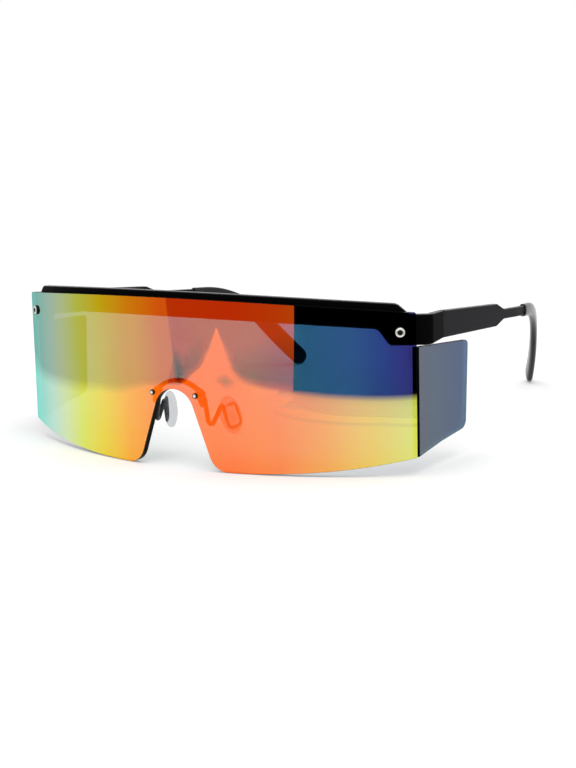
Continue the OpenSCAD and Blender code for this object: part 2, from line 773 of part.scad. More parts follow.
// A leaf on the inner face of the plate, from the pin line along y
module leaf(from_z, h, along) {
    translate([-metal_t - leaf_t, min(along, 0), pin_z + from_z]) cube([leaf_t, abs(along), h]);
}

module front_hinge() {
    relief = knuckle_d / 2 + 2 * running;
    color("#2A2A2D") difference() {
        union() {
            at_pin(-hinge_h / 2) cylinder(d = knuckle_d, h = outer_h, $fn = round_fn / 2);
            at_pin(hinge_h / 2 - outer_h) cylinder(d = knuckle_d, h = outer_h, $fn = round_fn / 2);
            at_hinge() leaf(-hinge_h / 2, hinge_h, -leaf_len);
        }
        at_pin(-middle_h / 2 - running) translate([-relief, -relief, 0])
            cube([2 * relief, relief + cut, middle_h + 2 * running]);
        at_pin(0) cylinder(d = pin_d + 2 * running, h = hinge_h, $fn = round_fn / 2);
        at_pin(-hinge_h / 2 - cut) cylinder(d = pin_d + snug, h = hinge_h, $fn = round_fn / 2);
    }
}

module front_hinge_left() {
    stood() front_hinge();
}

module front_hinge_right() {
    stood() right() front_hinge();
}

module temple_hinge() {
    relief = knuckle_d / 2 + 2 * running;
    color("#2A2A2D") difference() {
        union() {
            at_pin(-middle_h / 2) cylinder(d = knuckle_d, h = middle_h, $fn = round_fn / 2);
            at_hinge() leaf(-middle_h / 2, middle_h, leaf_len);
            at_hinge() translate([0, relief, 0]) leaf(-hinge_h / 2, hinge_h, leaf_len - relief);
        }
        at_pin(-hinge_h / 2 - cut) cylinder(d = pin_d + 2 * running, h = hinge_h + 2 * cut, $fn = round_fn / 2);
    }
}

module temple_hinge_left() {
    stood() temple_hinge();
}

module temple_hinge_right() {
    stood() right() temple_hinge();
}

pin_head_d = 2.2;
pin_head_h = 0.7;
slot_w = 0.4;

module hinge_screw() {
    color("silver") difference() {
        union() {
            at_pin(-hinge_h / 2) cylinder(d = pin_d, h = hinge_h + running, $fn = round_fn / 2);
            at_pin(hinge_h / 2 + snug) head(pin_head_d, pin_head_h);
        }
        at_pin(hinge_h / 2 + pin_head_h / 2) translate([-pin_head_d, -slot_w / 2, 0])
            cube([2 * pin_head_d, slot_w, pin_head_h]);
    }
}

module hinge_screw_left() {
    stood() hinge_screw();
}

module hinge_screw_right() {
    stood() right() hinge_screw();
}

// The temple's plate and arm seen from above, with the bevel at the split
module temple_plan() {
    polygon([[-metal_t, split], [-split_bevel, split], [0, split + split_bevel],
        [0, straight_len], [-arm_t, straight_len], [-arm_t, wide_len + neck_len], [-metal_t, wide_len]]);
    translate([-inward_r, straight_len]) intersection() {
        difference() {
            circle(r = inward_r, $fn = 2 * round_fn);
            circle(r = inward_r - arm_t, $fn = 2 * round_fn);
        }
        translate([inward_r / 2, 0]) square([inward_r, inward_r]);
    }
}

module temple() {
    color("#2E2E32") at_hinge() intersection() {
        translate([0, 0, -lens_w]) linear_extrude(height = 2 * lens_w) temple_plan();
        translate([-lens_w, 0, 0]) from_side(temple_side, 2 * lens_w);
    }
}

module temple_left() {
    stood() temple();
}

module temple_right() {
    stood() right() temple();
}

// The socket in the tip follows the core with a pushed fit
module tip_socket() {
    steps = [for (i = [0:core_steps])
        tip_from - cut + (core_to + running - tip_from + cut) * i / core_steps];
    socket = concat(
        [for (s = steps) edge_at(s, -core_h / 2 - snug)],
        [for (i = [core_steps:-1:0]) edge_at(steps[i], core_h / 2 + snug)]);
    intersection() {
        translate([-inward_r, straight_len, -lens_w]) difference() {
            cylinder(r = inward_r + snug, h = 2 * lens_w, $fn = 2 * round_fn);
            translate([0, 0, -cut]) cylinder(r = inward_r - arm_t - snug, h = 3 * lens_w, $fn = 2 * round_fn);
        }
        translate([-lens_w / 2, 0, 0]) from_side(socket, lens_w);
    }
}

module temple_tip() {
    color("#0A0A0B") at_hinge() difference() {
        skin(tip_rings);
        tip_socket();
    }
}

module temple_tip_left() {
    stood() temple_tip();
}

module temple_tip_right() {
    stood() right() temple_tip();
}

// Where the left hinge pin and the left tip's end are, and how the glasses are tilted
tip_last = tip_rings[len(tip_rings) - 1];
tip_before = tip_rings[len(tip_rings) - end_steps];
function middle(points) = [for (i = [0:2]) (max([for (p = points) p[i]]) + min([for (p = points) p[i]])) / 2];
tip_end_at = middle([for (p = rear(tip_last)) rested(p)]);
echo(pin = rested([each from_hinge([pin_x, 0]), pin_z]), tilt = rest_tilt, shift = rest_shift);
echo(tip_end_at = tip_end_at, tip_way = unit(tip_end_at - middle([for (p = rear(tip_before)) rested(p)])));

shield_lens();
brow_bar();
side_lens_left();
side_lens_right();
end_screws();
end_bushes();
bridge_screws();
bridge_bushes();
bridge_nuts();
nose_bridge();
nose_arm_left();
nose_arm_right();
nose_pad_left();
nose_pad_right();
front_hinge_left();
front_hinge_right();
temple_hinge_left();
temple_hinge_right();
hinge_screw_left();
hinge_screw_right();
temple_left();
temple_right();
temple_tip_left();
temple_tip_right();
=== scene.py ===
import json
from math import acos, asin, atan2, cos, pi, radians, sin, sqrt, tan

import bpy
from mathutils import Matrix, Vector
from mathutils.geometry import delaunay_2d_cdt


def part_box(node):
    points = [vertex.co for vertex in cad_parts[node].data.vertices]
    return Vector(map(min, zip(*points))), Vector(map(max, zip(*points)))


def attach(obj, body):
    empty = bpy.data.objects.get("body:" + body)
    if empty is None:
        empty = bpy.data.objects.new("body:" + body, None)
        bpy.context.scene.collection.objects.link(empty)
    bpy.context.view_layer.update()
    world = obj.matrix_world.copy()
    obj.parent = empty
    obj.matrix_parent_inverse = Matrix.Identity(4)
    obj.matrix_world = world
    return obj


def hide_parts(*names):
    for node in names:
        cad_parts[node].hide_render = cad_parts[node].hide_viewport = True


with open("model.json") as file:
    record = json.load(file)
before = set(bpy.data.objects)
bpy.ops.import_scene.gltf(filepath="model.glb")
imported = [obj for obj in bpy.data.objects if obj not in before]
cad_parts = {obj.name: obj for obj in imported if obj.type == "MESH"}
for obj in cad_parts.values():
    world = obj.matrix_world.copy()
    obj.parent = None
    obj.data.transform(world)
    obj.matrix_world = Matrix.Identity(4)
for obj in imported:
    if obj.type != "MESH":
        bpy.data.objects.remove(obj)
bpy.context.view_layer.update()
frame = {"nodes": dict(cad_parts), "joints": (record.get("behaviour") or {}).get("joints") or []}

mm = 0.001

# Camera
# It stands half a metre off at the wearer's left front, a little above the table, as the photograph's did.
camera_azimuth = radians(32.68)
camera_elevation = radians(11.9)
camera_roll = radians(-2.68)
camera_distance = 501.8 * mm
camera_target = Vector((15.16, -35.41, 18.57)) * mm
photo_focal_px = 1611.65
photo_height_px = 768
sensor_height = 36

camera_turn = (Matrix.Rotation(camera_azimuth, 4, "Z") @ Matrix.Rotation(pi / 2 - camera_elevation, 4, "X")
               @ Matrix.Rotation(camera_roll, 4, "Z"))
camera = bpy.data.objects.new("camera", bpy.data.cameras.new("camera"))
bpy.context.scene.collection.objects.link(camera)
camera.data.sensor_fit = "VERTICAL"
camera.data.sensor_height = sensor_height
camera.data.lens = sensor_height * photo_focal_px / photo_height_px
camera.data.clip_start = 10 * mm
camera.matrix_world = (Matrix.Translation(camera_target) @ camera_turn
                       @ Matrix.Translation((0, 0, camera_distance)))
bpy.context.scene.camera = camera

# Shield lens
# One sheet of polycarbonate, formed to a cylinder and cut to its outline, with polished edges. A multilayer
# mirror is vapour-coated on the front. It mirrors orange in the middle, where it is thickest, and yellow,
# green and teal towards the sides, and the tinted sheet behind it lets a little blue through.
lens_w = 140 * mm
lens_r = 135 * mm
lens_t = 2 * mm
lens_rise = 3.4 * mm
lens_side_h = 41.8 * mm
lens_drop = 47.6 * mm
lens_corner_r = 0.6 * mm
lens_square_cut = 0.75 * mm
lens_low_power = 3
notch_drop = 23.7 * mm
notch_r = 7.1 * mm
notch_flare = radians(20.2)
notch_foot_r = 6.3 * mm
lens_polish = 0.08 * mm
lens_grid = 2.5 * mm
end_screw_at = (66.8 * mm, -5.4 * mm)
bridge_screw_at = (7.8 * mm, -25.2 * mm)
end_hole_r = 0.98 * mm
bridge_hole_r = 0.78 * mm
half_w = lens_w / 2
front_half_w = half_w + lens_square_cut
axis_y = sqrt(lens_r ** 2 - half_w ** 2)


def corner(a, b, c, r, steps=10):
    """An arc of radius r in place of the corner b between a and c."""
    u, v = (a - b).normalized(), (c - b).normalized()
    half = acos(max(-1, min(1, u.dot(v)))) / 2
    centre = b + (u + v).normalized() * (r / sin(half))
    first = b + u * (r / tan(half)) - centre
    last = b + v * (r / tan(half)) - centre
    sweep = pi - 2 * half
    return [centre + (first * sin((1 - i / steps) * sweep) + last * sin(i / steps * sweep)) / sin(sweep)
            for i in range(steps + 1)]


def rounded(points, radii, steps=10):
    """A closed path through corner points, each rounded by its own radius, or left sharp at 0."""
    path = []
    for i, (point, r) in enumerate(zip(points, radii)):
        after = points[(i + 1) % len(points)]
        path += corner(points[i - 1], point, after, r, steps) if r else [point]
    return path


def lens_top(x):
    return lens_rise * (1 - (x / half_w) ** 2)


def lens_bottom(x):
    return -lens_drop + (lens_drop - lens_side_h) * abs(x / half_w) ** lens_low_power


def lens_y(x, depth):
    """How far back a wall parallel to the lens lies, at x and at a depth behind the lens's front."""
    return axis_y - sqrt((lens_r - depth) ** 2 - x * x)


def lens_edge():
    """The outline of the lens seen from the front, counter-clockwise from the top of the notch."""
    edge_steps = 24
    point_z = -notch_drop + notch_r * (1 / sin(notch_flare) - 1)
    foot_x = 0
    for _ in range(6):
        foot_x = tan(notch_flare) * (point_z - lens_bottom(foot_x))
    from_x = foot_x + notch_foot_r
    peak, foot = Vector((0, point_z)), Vector((foot_x, lens_bottom(foot_x)))
    low_mid, low_end = Vector((half_w / 2, lens_bottom(half_w))), Vector((front_half_w, lens_bottom(half_w)))
    top_end, top_mid = Vector((front_half_w, 0)), Vector((half_w / 2, lens_top(half_w / 2)))
    half = corner(Vector((-foot_x, foot.y)), peak, foot, notch_r, 24)[12:]
    half += corner(peak, foot, Vector((from_x, lens_bottom(from_x))), notch_foot_r)
    half += [Vector((x, lens_bottom(x)))
             for x in spaced(from_x, half_w, (half_w - from_x) / edge_steps)[1:-1]]
    half += corner(low_mid, low_end, top_end, lens_corner_r, 6)
    half += corner(low_end, top_end, top_mid, lens_corner_r, 6)
    half += [Vector((x, lens_top(x))) for x in spaced(half_w, 0, half_w / edge_steps)[1:]]
    return both_halves(half)


def both_halves(half):
    """A whole outline from its right half, which starts and ends on the middle line."""
    return half + [Vector((-p.x, p.y)) for p in reversed(half[1:-1])]


def inside(point, loop):
    """Whether a flat point lies inside a closed loop."""
    crossings = 0
    for a, b in zip(loop, loop[1:] + loop[:1]):
        if (a.y > point.y) != (b.y > point.y):
            crossings += point.x < a.x + (point.y - a.y) / (b.y - a.y) * (b.x - a.x)
    return crossings % 2 == 1


def outward(loop):
    """The direction out of a counter-clockwise loop at each of its points."""
    ways = []
    for i, p in enumerate(loop):
        before, after = (p - loop[i - 1]).normalized(), (loop[(i + 1) % len(loop)] - p).normalized()
        along = (before + after).normalized()
        ways.append(Vector((along.y, -along.x)))
    return ways


def cut_sheet(loops, columns, rows, polish):
    """A flat sheet with rounded edges, from its outline and those of its holes, which run the other way.
    It has a column of points wherever it bends. Gives points (u, layer, z), faces, each face's part (0
    front, 1 edge, 2 back) and each point's way out in the sheet's plane, or None off the edge. The layers
    are the front, the two ends of the edge, and the back."""
    split = []
    for loop in loops:
        path = []
        for a, b in zip(loop, loop[1:] + loop[:1]):
            path.append(a)
            for u in sorted(columns, reverse=b.x < a.x):
                if min(a.x, b.x) + polish / 2 < u < max(a.x, b.x) - polish / 2:
                    path.append(a + (b - a) * (u - a.x) / (b.x - a.x))
        split.append(path)
    ways = [outward(loop) for loop in split]
    inner = [[p - w * polish for p, w in zip(loop, way)] for loop, way in zip(split, ways)]

    def solid(p):
        return inside(p, inner[0]) and not any(inside(p, hole) for hole in inner[1:])

    flat = [p for loop in inner for p in loop]
    edges, at = [], 0
    for loop in inner:
        edges += [(at + i, at + (i + 1) % len(loop)) for i in range(len(loop))]
        at += len(loop)
    for i, u in enumerate(columns):
        gap = min(abs(u - v) for v in columns[max(i - 1, 0):i + 2] if v != u)
        for z in rows:
            p = Vector((u, z))
            if solid(p) and min((p - q).length for q in flat[:at]) > gap / 3:
                flat.append(p)
    found = delaunay_2d_cdt(flat, edges, [], 1, 1e-9, True)
    place = {old: new for new, olds in enumerate(found[3]) for old in olds}
    flat_points = [Vector(p) for p in found[0]]
    triangles = [tuple(face) for face in found[2]
                 if solid(sum((flat_points[i] for i in face), Vector((0, 0))) / len(face))]
    count = len(flat_points)
    points = [(p.x, layer, p.y) for layer in (0, 3) for p in flat_points]
    sides = [None] * len(points)
    faces = triangles + [tuple(i + count for i in reversed(t)) for t in triangles]
    parts = [0] * len(triangles) + [2] * len(triangles)
    at = 0
    for loop, way in zip(split, ways):
        start, size = len(points), len(loop)
        points += [(p.x, layer, p.y) for layer in (1, 2) for p in loop]
        sides += way + way
        for i in range(size):
            k = (i + 1) % size
            a, b = place[at + i], place[at + k]
            faces += [(b, a, start + i, start + k),
                      (start + k, start + i, start + size + i, start + size + k),
                      (start + size + k, start + size + i, a + count, b + count)]
            parts += [1, 1, 1]
        at += size
    return points, faces, parts, sides


def layer_depth(layer, thick, polish):
    return (0, polish, thick - polish, thick)[layer]


def spaced(start, end, step):
    """Even steps from start to end, both included."""
    count = max(1, round(abs(end - start) / step))
    return [start + (end - start) * i / count for i in range(count + 1)]


def ring_at(centre, half_x, half_z, steps=24):
    """An ellipse round a hole, clockwise."""
    turns = [2 * pi * i / steps for i in range(steps)]
    return [Vector((centre[0] + half_x * cos(a), centre[1] - half_z * sin(a))) for a in turns]


def add_node(tree, kind, inputs=None, **settings):
    """A node with its settings. An input takes a value, an output, or a node for its first output."""
    node = tree.nodes.new(kind)
    for name, value in settings.items():
        setattr(node, name, value)
    for key, value in (inputs or {}).items():
        if isinstance(value, bpy.types.Node):
            value = value.outputs[0]
        if isinstance(value, bpy.types.NodeSocket):
            tree.links.new(value, node.inputs[key])
        else:
            node.inputs[key].default_value = value
    return node


def from_hex(code):
    """The linear colour of an sRGB hex value."""
    shares = [int(code[i:i + 2], 16) / 255 for i in (1, 3, 5)]
    return [s / 12.92 if s <= 0.04045 else ((s + 0.055) / 1.055) ** 2.4 for s in shares] + [1]


def new_material(name):
    """An empty material and its tree."""
    material = bpy.data.materials.new(name)
    material.use_nodes = True
    material.node_tree.nodes.clear()
    return material, material.node_tree


def show(tree, shader):
    """Makes a shader the surface of its material."""
    add_node(tree, "ShaderNodeOutputMaterial", {"Surface": shader})


def set_ramp(ramp, stops):
    """Fills a colour ramp from (place, sRGB hex) pairs."""
    elements = ramp.color_ramp.elements
    for i, (place, code) in enumerate(stops):
        element = elements[i] if i < len(elements) else elements.new(place)
        element.position = place
        element.color = from_hex(code)
    return ramp


def colours_along(tree, axis, start, end, stops):
    """Colours from one place to another along an axis of the piece's own space."""
    place = add_node(tree, "ShaderNodeTexCoord").outputs["Object"]
    split = add_node(tree, "ShaderNodeSeparateXYZ", {0: place})
    share = add_node(tree, "ShaderNodeMapRange", {
        "Value": split.outputs[axis], "From Min": start, "From Max": end})
    return set_ramp(add_node(tree, "ShaderNodeValToRGB", {"Fac": share}), stops)


def thin_mirror(tree, mirrored, roughness, through):
    """A coat that mirrors one part of the light and lets another part straight through."""
    glare = add_node(tree, "ShaderNodeBsdfGlossy", {"Color": mirrored, "Roughness": roughness})
    clear = add_node(tree, "ShaderNodeBsdfTransparent", {"Color": through})
    show(tree, add_node(tree, "ShaderNodeAddShader", {0: glare, 1: clear}))


def polished_over(tree, clear):
    """The polished face of clear plastic, which shines more at a slant, alike from both sides."""
    glare = add_node(tree, "ShaderNodeBsdfGlossy", {"Color": from_hex("#F3F3F6"), "Roughness": 0.02})
    slant = add_node(tree, "ShaderNodeLayerWeight", {"Blend": 0.5})
    steep = add_node(tree, "ShaderNodeMath", {0: slant.outputs["Facing"], 1: 5}, operation="POWER")
    shine = add_node(tree, "ShaderNodeMapRange", {"Value": steep, "To Min": 0.05})
    show(tree, add_node(tree, "ShaderNodeMixShader", {0: shine, 1: clear, 2: glare}))


def grained(name, colour, grain_w, detail, rough, inputs=None,
            bump=None, brushed=None, clear=None, behind=None):
    """A material whose gloss varies with grains of this width. They may stand out (strength, height) or
    be brush marks (tilt, length). Clear plastic may let light past them (its colour, the least and the
    most that they keep). Another shader may show from behind."""
    material, tree = new_material(name)
    place = add_node(tree, "ShaderNodeTexCoord").outputs["Object"]
    if brushed:
        level = add_node(tree, "ShaderNodeMapping", {"Vector": place, "Rotation": (brushed[0], 0, 0)})
        drawn = grain_w / brushed[1]
        place = add_node(tree, "ShaderNodeMapping", {"Vector": level, "Scale": (drawn, drawn, 1)})
    grain = add_node(tree, "ShaderNodeTexNoise", {"Vector": place, "Scale": 1 / grain_w, "Detail": detail})
    gloss = add_node(tree, "ShaderNodeMapRange", {"Value": grain, "To Min": rough[0], "To Max": rough[1]})
    shader = add_node(tree, "ShaderNodeBsdfPrincipled", {
        "Base Color": from_hex(colour), "Roughness": gloss, **(inputs or {})})
    if bump:
        relief = add_node(tree, "ShaderNodeBump", {"Height": grain, "Strength": bump[0], "Distance": bump[1]})
        tree.links.new(relief.outputs[0], shader.inputs["Normal"])
    if clear:
        share = add_node(tree, "ShaderNodeMapRange", {"Value": grain, "To Min": clear[1], "To Max": clear[2]})
        straight = add_node(tree, "ShaderNodeBsdfTransparent", {"Color": from_hex(clear[0])})
        shader = add_node(tree, "ShaderNodeMixShader", {0: share, 1: straight, 2: shader})
    if behind:
        face = add_node(tree, "ShaderNodeNewGeometry").outputs["Backfacing"]
        shader = add_node(tree, "ShaderNodeMixShader", {0: face, 1: shader, 2: behind(tree)})
    show(tree, shader)
    return material


# The dielectric mirror: what it doesn't mirror goes through, less what the smoke tint takes. Its thickness
# drifts over some 36 mm, which sways the borders between its colours.
drift_len = 36 * mm

# Each stop is a place along X in mm, and the colour there
mirrored_stops = (
    (-70, "#82D7C9"), (-57, "#BBDDCB"), (-49, "#CEE0A8"), (-40, "#D6DC50"), (-30, "#E6C612"),
    (-18, "#F5950A"), (-4, "#FC6405"), (20, "#FD5A08"), (34, "#F9720E"), (48, "#F29E00"), (60, "#E8C41C"),
    (70, "#DADE54"))
through_stops = (
    (-70, "#59595D"), (-50, "#7C5974"), (-35, "#848996"), (-15, "#6CAE8E"), (2, "#3CA09A"),
    (12, "#48A794"), (20, "#58A997"), (28, "#4CA69A"), (42, "#4A84AD"), (55, "#537CBA"), (63, "#5062B8"),
    (68, "#584FAE"), (70, "#50489A"))
coat, tree = new_material("dielectric_mirror_on_polycarbonate")
place = add_node(tree, "ShaderNodeTexCoord").outputs["Object"]
cloud = add_node(tree, "ShaderNodeTexNoise", {"Vector": place, "Scale": 1 / drift_len, "Detail": 2})
drift = add_node(tree, "ShaderNodeMath", {0: cloud, 1: 0.5}, operation="SUBTRACT")
split = add_node(tree, "ShaderNodeSeparateXYZ", {0: place})
moved = add_node(tree, "ShaderNodeMath", {0: drift, 1: 5 * mm, 2: split}, operation="MULTIPLY_ADD")
share = add_node(tree, "ShaderNodeMapRange", {"Value": moved, "From Min": -half_w, "From Max": half_w})
mirrored, through = [
    set_ramp(add_node(tree, "ShaderNodeValToRGB", {"Fac": share}),
             [(0.5 + x * mm / lens_w, code) for x, code in stops])
    for stops in (mirrored_stops, through_stops)]
thin_mirror(tree, mirrored, 0.012, through)


def smoke_tint_and_shade(tree):
    """Clear plastic with a smoke tint, grey at the brow. Towards the lower edge it lets less red and blue
    through and turns green: painted shade for the dimmer table seen through the lens there.
    """
    # The ramp from the lower edge to the brow is the painted shade; the grey at the brow is the tint itself
    colours = colours_along(tree, "Z", 2 * mm, 34 * mm, [(0, "#7CAA98"), (1, "#95AAB5")])
    return add_node(tree, "ShaderNodeBsdfTransparent", {"Color": colours})


# The sheet behind the mirror, with a plain polished back, which mirrors only a little
smoke, tree = new_material("smoke_polycarbonate_back")
polished_over(tree, smoke_tint_and_shade(tree))

# The cut edge: the tinted sheet seen end on is nearly black. From within the sheet its polish mirrors the
# clear sheet itself, so there it can't be told from the rest. What is left of the cutter's marks, a tenth
# of a millimetre wide, is drawn coarser so that it shows.
edge = grained("polished_polycarbonate_edge", "#050807", 1.1 * mm, 2, (0.18, 0.34),
               {"IOR": 1.58, "Specular IOR Level": 0.02}, behind=smoke_tint_and_shade)


def shape_tree(name, sizes):
    """A Geometry Nodes tree with named inputs for its sizes, and its input and output nodes."""
    tree = bpy.data.node_groups.new(name, "GeometryNodeTree")
    tree.interface.new_socket("Geometry", in_out="INPUT", socket_type="NodeSocketGeometry")
    for size in sizes:
        tree.interface.new_socket(size, in_out="INPUT", socket_type="NodeSocketFloat")
    tree.interface.new_socket("Geometry", in_out="OUTPUT", socket_type="NodeSocketGeometry")
    return tree, add_node(tree, "NodeGroupInput"), add_node(tree, "NodeGroupOutput")


def made_by(tree, start, name, sizes):
    """The plain mesh object that a tree makes from a starting object."""
    modifier = start.modifiers.new(tree.name, "NODES")
    modifier.node_group = tree
    for item in tree.interface.items_tree:
        if item.in_out == "INPUT" and item.name in sizes:
            modifier[item.identifier] = sizes[item.name]
    graph = bpy.context.evaluated_depsgraph_get()
    mesh = bpy.data.meshes.new_from_object(start.evaluated_get(graph), depsgraph=graph)
    bpy.data.objects.remove(start)
    mesh.name = name
    return linked(name, mesh)


def linked(name, data):
    """An object for this data, in the scene."""
    made = bpy.data.objects.new(name, data)
    bpy.context.scene.collection.objects.link(made)
    return made


def mesh_from(name, points, faces, edges=()):
    mesh = bpy.data.meshes.new(name)
    mesh.from_pydata([tuple(p) for p in points], edges, [tuple(f) for f in faces])
    return mesh


def label_parts(mesh, parts):
    """Stores for each face which part of a sheet it belongs to."""
    mesh.attributes.new("part", "INT", "FACE").data.foreach_set("value", parts)


def formed(tree, given, flat):
    """Sets a flat shape, whose Y is its depth in the lens, onto the lens's curve. Also gives its X."""
    where = add_node(tree, "GeometryNodeInputPosition")
    x, depth, z = add_node(tree, "ShaderNodeSeparateXYZ", {0: where}).outputs
    wall_r = add_node(tree, "ShaderNodeMath", {0: given.outputs["Radius"], 1: depth}, operation="SUBTRACT")
    squared = add_node(tree, "ShaderNodeMath", {0: wall_r, 1: 2}, operation="POWER")
    x_squared = add_node(tree, "ShaderNodeMath", {0: x, 1: x}, operation="MULTIPLY")
    rest_of = add_node(tree, "ShaderNodeMath", {0: squared, 1: x_squared}, operation="SUBTRACT")
    reach = add_node(tree, "ShaderNodeMath", {0: rest_of}, operation="SQRT")
    back = add_node(tree, "ShaderNodeMath", {0: given.outputs["Axis"], 1: reach}, operation="SUBTRACT")
    joined = add_node(tree, "ShaderNodeCombineXYZ", {0: x, 1: back, 2: z})
    return add_node(tree, "GeometryNodeSetPosition", {"Geometry": flat, "Position": joined}), x


def paint_parts(tree, shape, materials, made):
    """Gives each part of a shape its material, and ends the tree."""
    part = add_node(tree, "GeometryNodeInputNamedAttribute", {"Name": "part"}, data_type="INT")
    for number, material in enumerate(materials):
        chosen = add_node(tree, "FunctionNodeCompare", {2: part, 3: number},
                          data_type="INT", operation="EQUAL")
        shape = add_node(tree, "GeometryNodeSetMaterial", {
            "Geometry": shape, "Selection": chosen, "Material": material})
    plain = add_node(tree, "GeometryNodeRealizeInstances", {0: shape})
    tree.links.new(plain.outputs[0], made.inputs[0])


tree, given, made = shape_tree("formed_to_a_cylinder", ["Radius", "Axis"])
paint_parts(tree, formed(tree, given, given.outputs["Geometry"])[0], [coat, edge, smoke], made)

hole_loops = [ring_at((side * x, z), r * cos(asin(x / lens_r)), r) for side in (1, -1)
              for (x, z), r in ((end_screw_at, end_hole_r), (bridge_screw_at, bridge_hole_r))]
flat, faces, parts, sides = cut_sheet(
    [lens_edge()] + hole_loops, spaced(-half_w, half_w, lens_grid)[1:-1],
    spaced(-lens_drop, lens_rise, lens_grid), lens_polish)
points = []
for x, layer, z in flat:
    depth = layer_depth(layer, lens_t, lens_polish)
    # The ends and the holes stand square to the curved sheet, so they draw in towards the middle with depth
    points.append((x * (1 - depth / lens_r), depth, z))
sheet = mesh_from("shield_sheet", points, faces)
label_parts(sheet, parts)
shield = made_by(tree, linked("shield_sheet", sheet), "mirror_shield", {"Radius": lens_r, "Axis": axis_y})


def smooth_by(mesh, normals):
    """Shades a mesh by its real surface's own direction at each point."""
    for face in mesh.polygons:
        face.use_smooth = True
    mesh.normals_split_custom_set_from_vertices([tuple(n) for n in normals])


normals = []
for (x, depth, z), side, vertex in zip(points, sides, shield.data.vertices):
    if side is None:
        facing = Vector((x, vertex.co.y - axis_y, 0)).normalized()
        normals.append(facing if depth == 0 else -facing)
    else:
        slant = asin(x / lens_r)
        normals.append(Vector((side.x * cos(slant), side.x * sin(slant), side.y)))
smooth_by(shield.data, normals)

# The glasses stand tilted a little, on the lens and both ear tips. The tilt is that of the hinge pins,
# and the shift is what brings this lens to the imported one.
pin_axis = Vector(frame["joints"][0]["axis"])
rest_turn = Matrix.Rotation(-atan2(pin_axis.y, pin_axis.z), 4, "X")
turned = [rest_turn @ v.co for v in shield.data.vertices]
lens_low, lens_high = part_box("shield_lens")
at_rest = Matrix.Translation((
    0, lens_low.y - min(p.y for p in turned), lens_high.z - max(p.z for p in turned))) @ rest_turn


def settle(piece, body, slot, *nodes):
    """Puts a piece that was made level into the place where the glasses rest, on its body."""
    own_normals = piece.data.has_custom_normals
    normals = [at_rest.to_3x3() @ Vector(c.vector) for c in piece.data.corner_normals]
    piece.data.transform(at_rest)
    if own_normals:
        piece.data.normals_split_custom_set(normals)
    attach(piece, body)
    if nodes:
        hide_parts(*nodes)


def dress(mesh, materials, parts, body, slot, *nodes):
    """Makes a mesh a piece in its place. Its parts, if it has any, say which material each face has."""
    for material in materials:
        mesh.materials.append(material)
    if parts:
        mesh.polygons.foreach_set("material_index", parts)
    settle(linked(mesh.name, mesh), body, slot, *nodes)


settle(shield, "front", "mirror_lens", "shield_lens")

# Side lenses
# Flat panes of grey polycarbonate with a light silver flash on the outside, cut with round rear corners and
# bonded along their front edge to the back of the shield. Their polished edges look dark.
side_len = 28.8 * mm
side_t = 1.5 * mm
side_splay = radians(6)
side_front_top = 9.9 * mm
side_rear_top = 11.2 * mm
side_rear_h = 26 * mm
side_low_mid = (13.1 * mm, -39.2 * mm)
bond_t = 0.1 * mm
side_polish = 0.12 * mm
side_grid = 4 * mm
out_of_pane = Vector((cos(side_splay), -sin(side_splay), 0))
along_pane = Vector((sin(side_splay), cos(side_splay), 0))

# The flash mirrors weakly, grey in front and bluer towards the rear, and lets the dark pane show
flash, tree = new_material("silver_flash_on_grey_polycarbonate")
silver = colours_along(tree, "Y", -54 * mm, -26 * mm, [(0, "#62666C"), (0.35, "#5C6674"), (1, "#525E7C")])
thin_mirror(tree, silver, 0.06, from_hex("#6C7078"))

# The bare inside only shines a little
pane_back, tree = new_material("grey_polycarbonate_back")
polished_over(tree, add_node(tree, "ShaderNodeBsdfTransparent", {"Color": from_hex("#70747C")}))


def pane_place(s, depth, z):
    """A place in the left side lens, s behind the shield's corner and depth in from its outer face."""
    start, front = Vector((half_w, 0, z)) - depth * out_of_pane, 0
    for _ in range(4):
        at = start + front * along_pane
        front += (lens_y(at.x, lens_t + bond_t) - at.y) / cos(side_splay)
    return start + (front + s * (side_len - front) / side_len) * along_pane


pane_edge = rounded(
    [Vector(p) for p in (
        (0, -side_front_top), (0, -lens_side_h), side_low_mid,
        (side_len - side_t, -side_rear_top - side_rear_h), (side_len, -side_rear_top))],
    [0, 0, 0, 2 * side_t, side_t])
flat, faces, parts, sides = cut_sheet(
    [pane_edge], spaced(0, side_len, side_grid)[1:-1], spaced(-lens_side_h, 0, side_grid), side_polish)
placed = [pane_place(s, layer_depth(layer, side_t, side_polish), z) for s, layer, z in flat]


def on_side(side, p):
    """A place at the wearer's left, or its mirror image at the right."""
    return Vector((side * p.x, p.y, p.z))


def mirrored_mesh(name, points, faces, normals, side):
    """A mesh for the wearer's left, or its mirror image for the right, shaded by the given normals."""
    mesh = mesh_from(name, [on_side(side, p) for p in points], [f[::side] for f in faces])
    smooth_by(mesh, [on_side(side, n) for n in normals])
    return mesh


hands = (("left", 1), ("right", -1))
normals = []
for (s, layer, z), way in zip(flat, sides):
    if way is None:
        normals.append(-out_of_pane if layer else out_of_pane)
    else:
        normals.append(along_pane * way.x + Vector((0, 0, way.y)))
for hand, side in hands:
    pane = mirrored_mesh(f"side_pane_{hand}", placed, faces, normals, side)
    dress(pane, (flash, edge, pane_back), parts, "front", "side_lens", f"side_lens_{hand}")

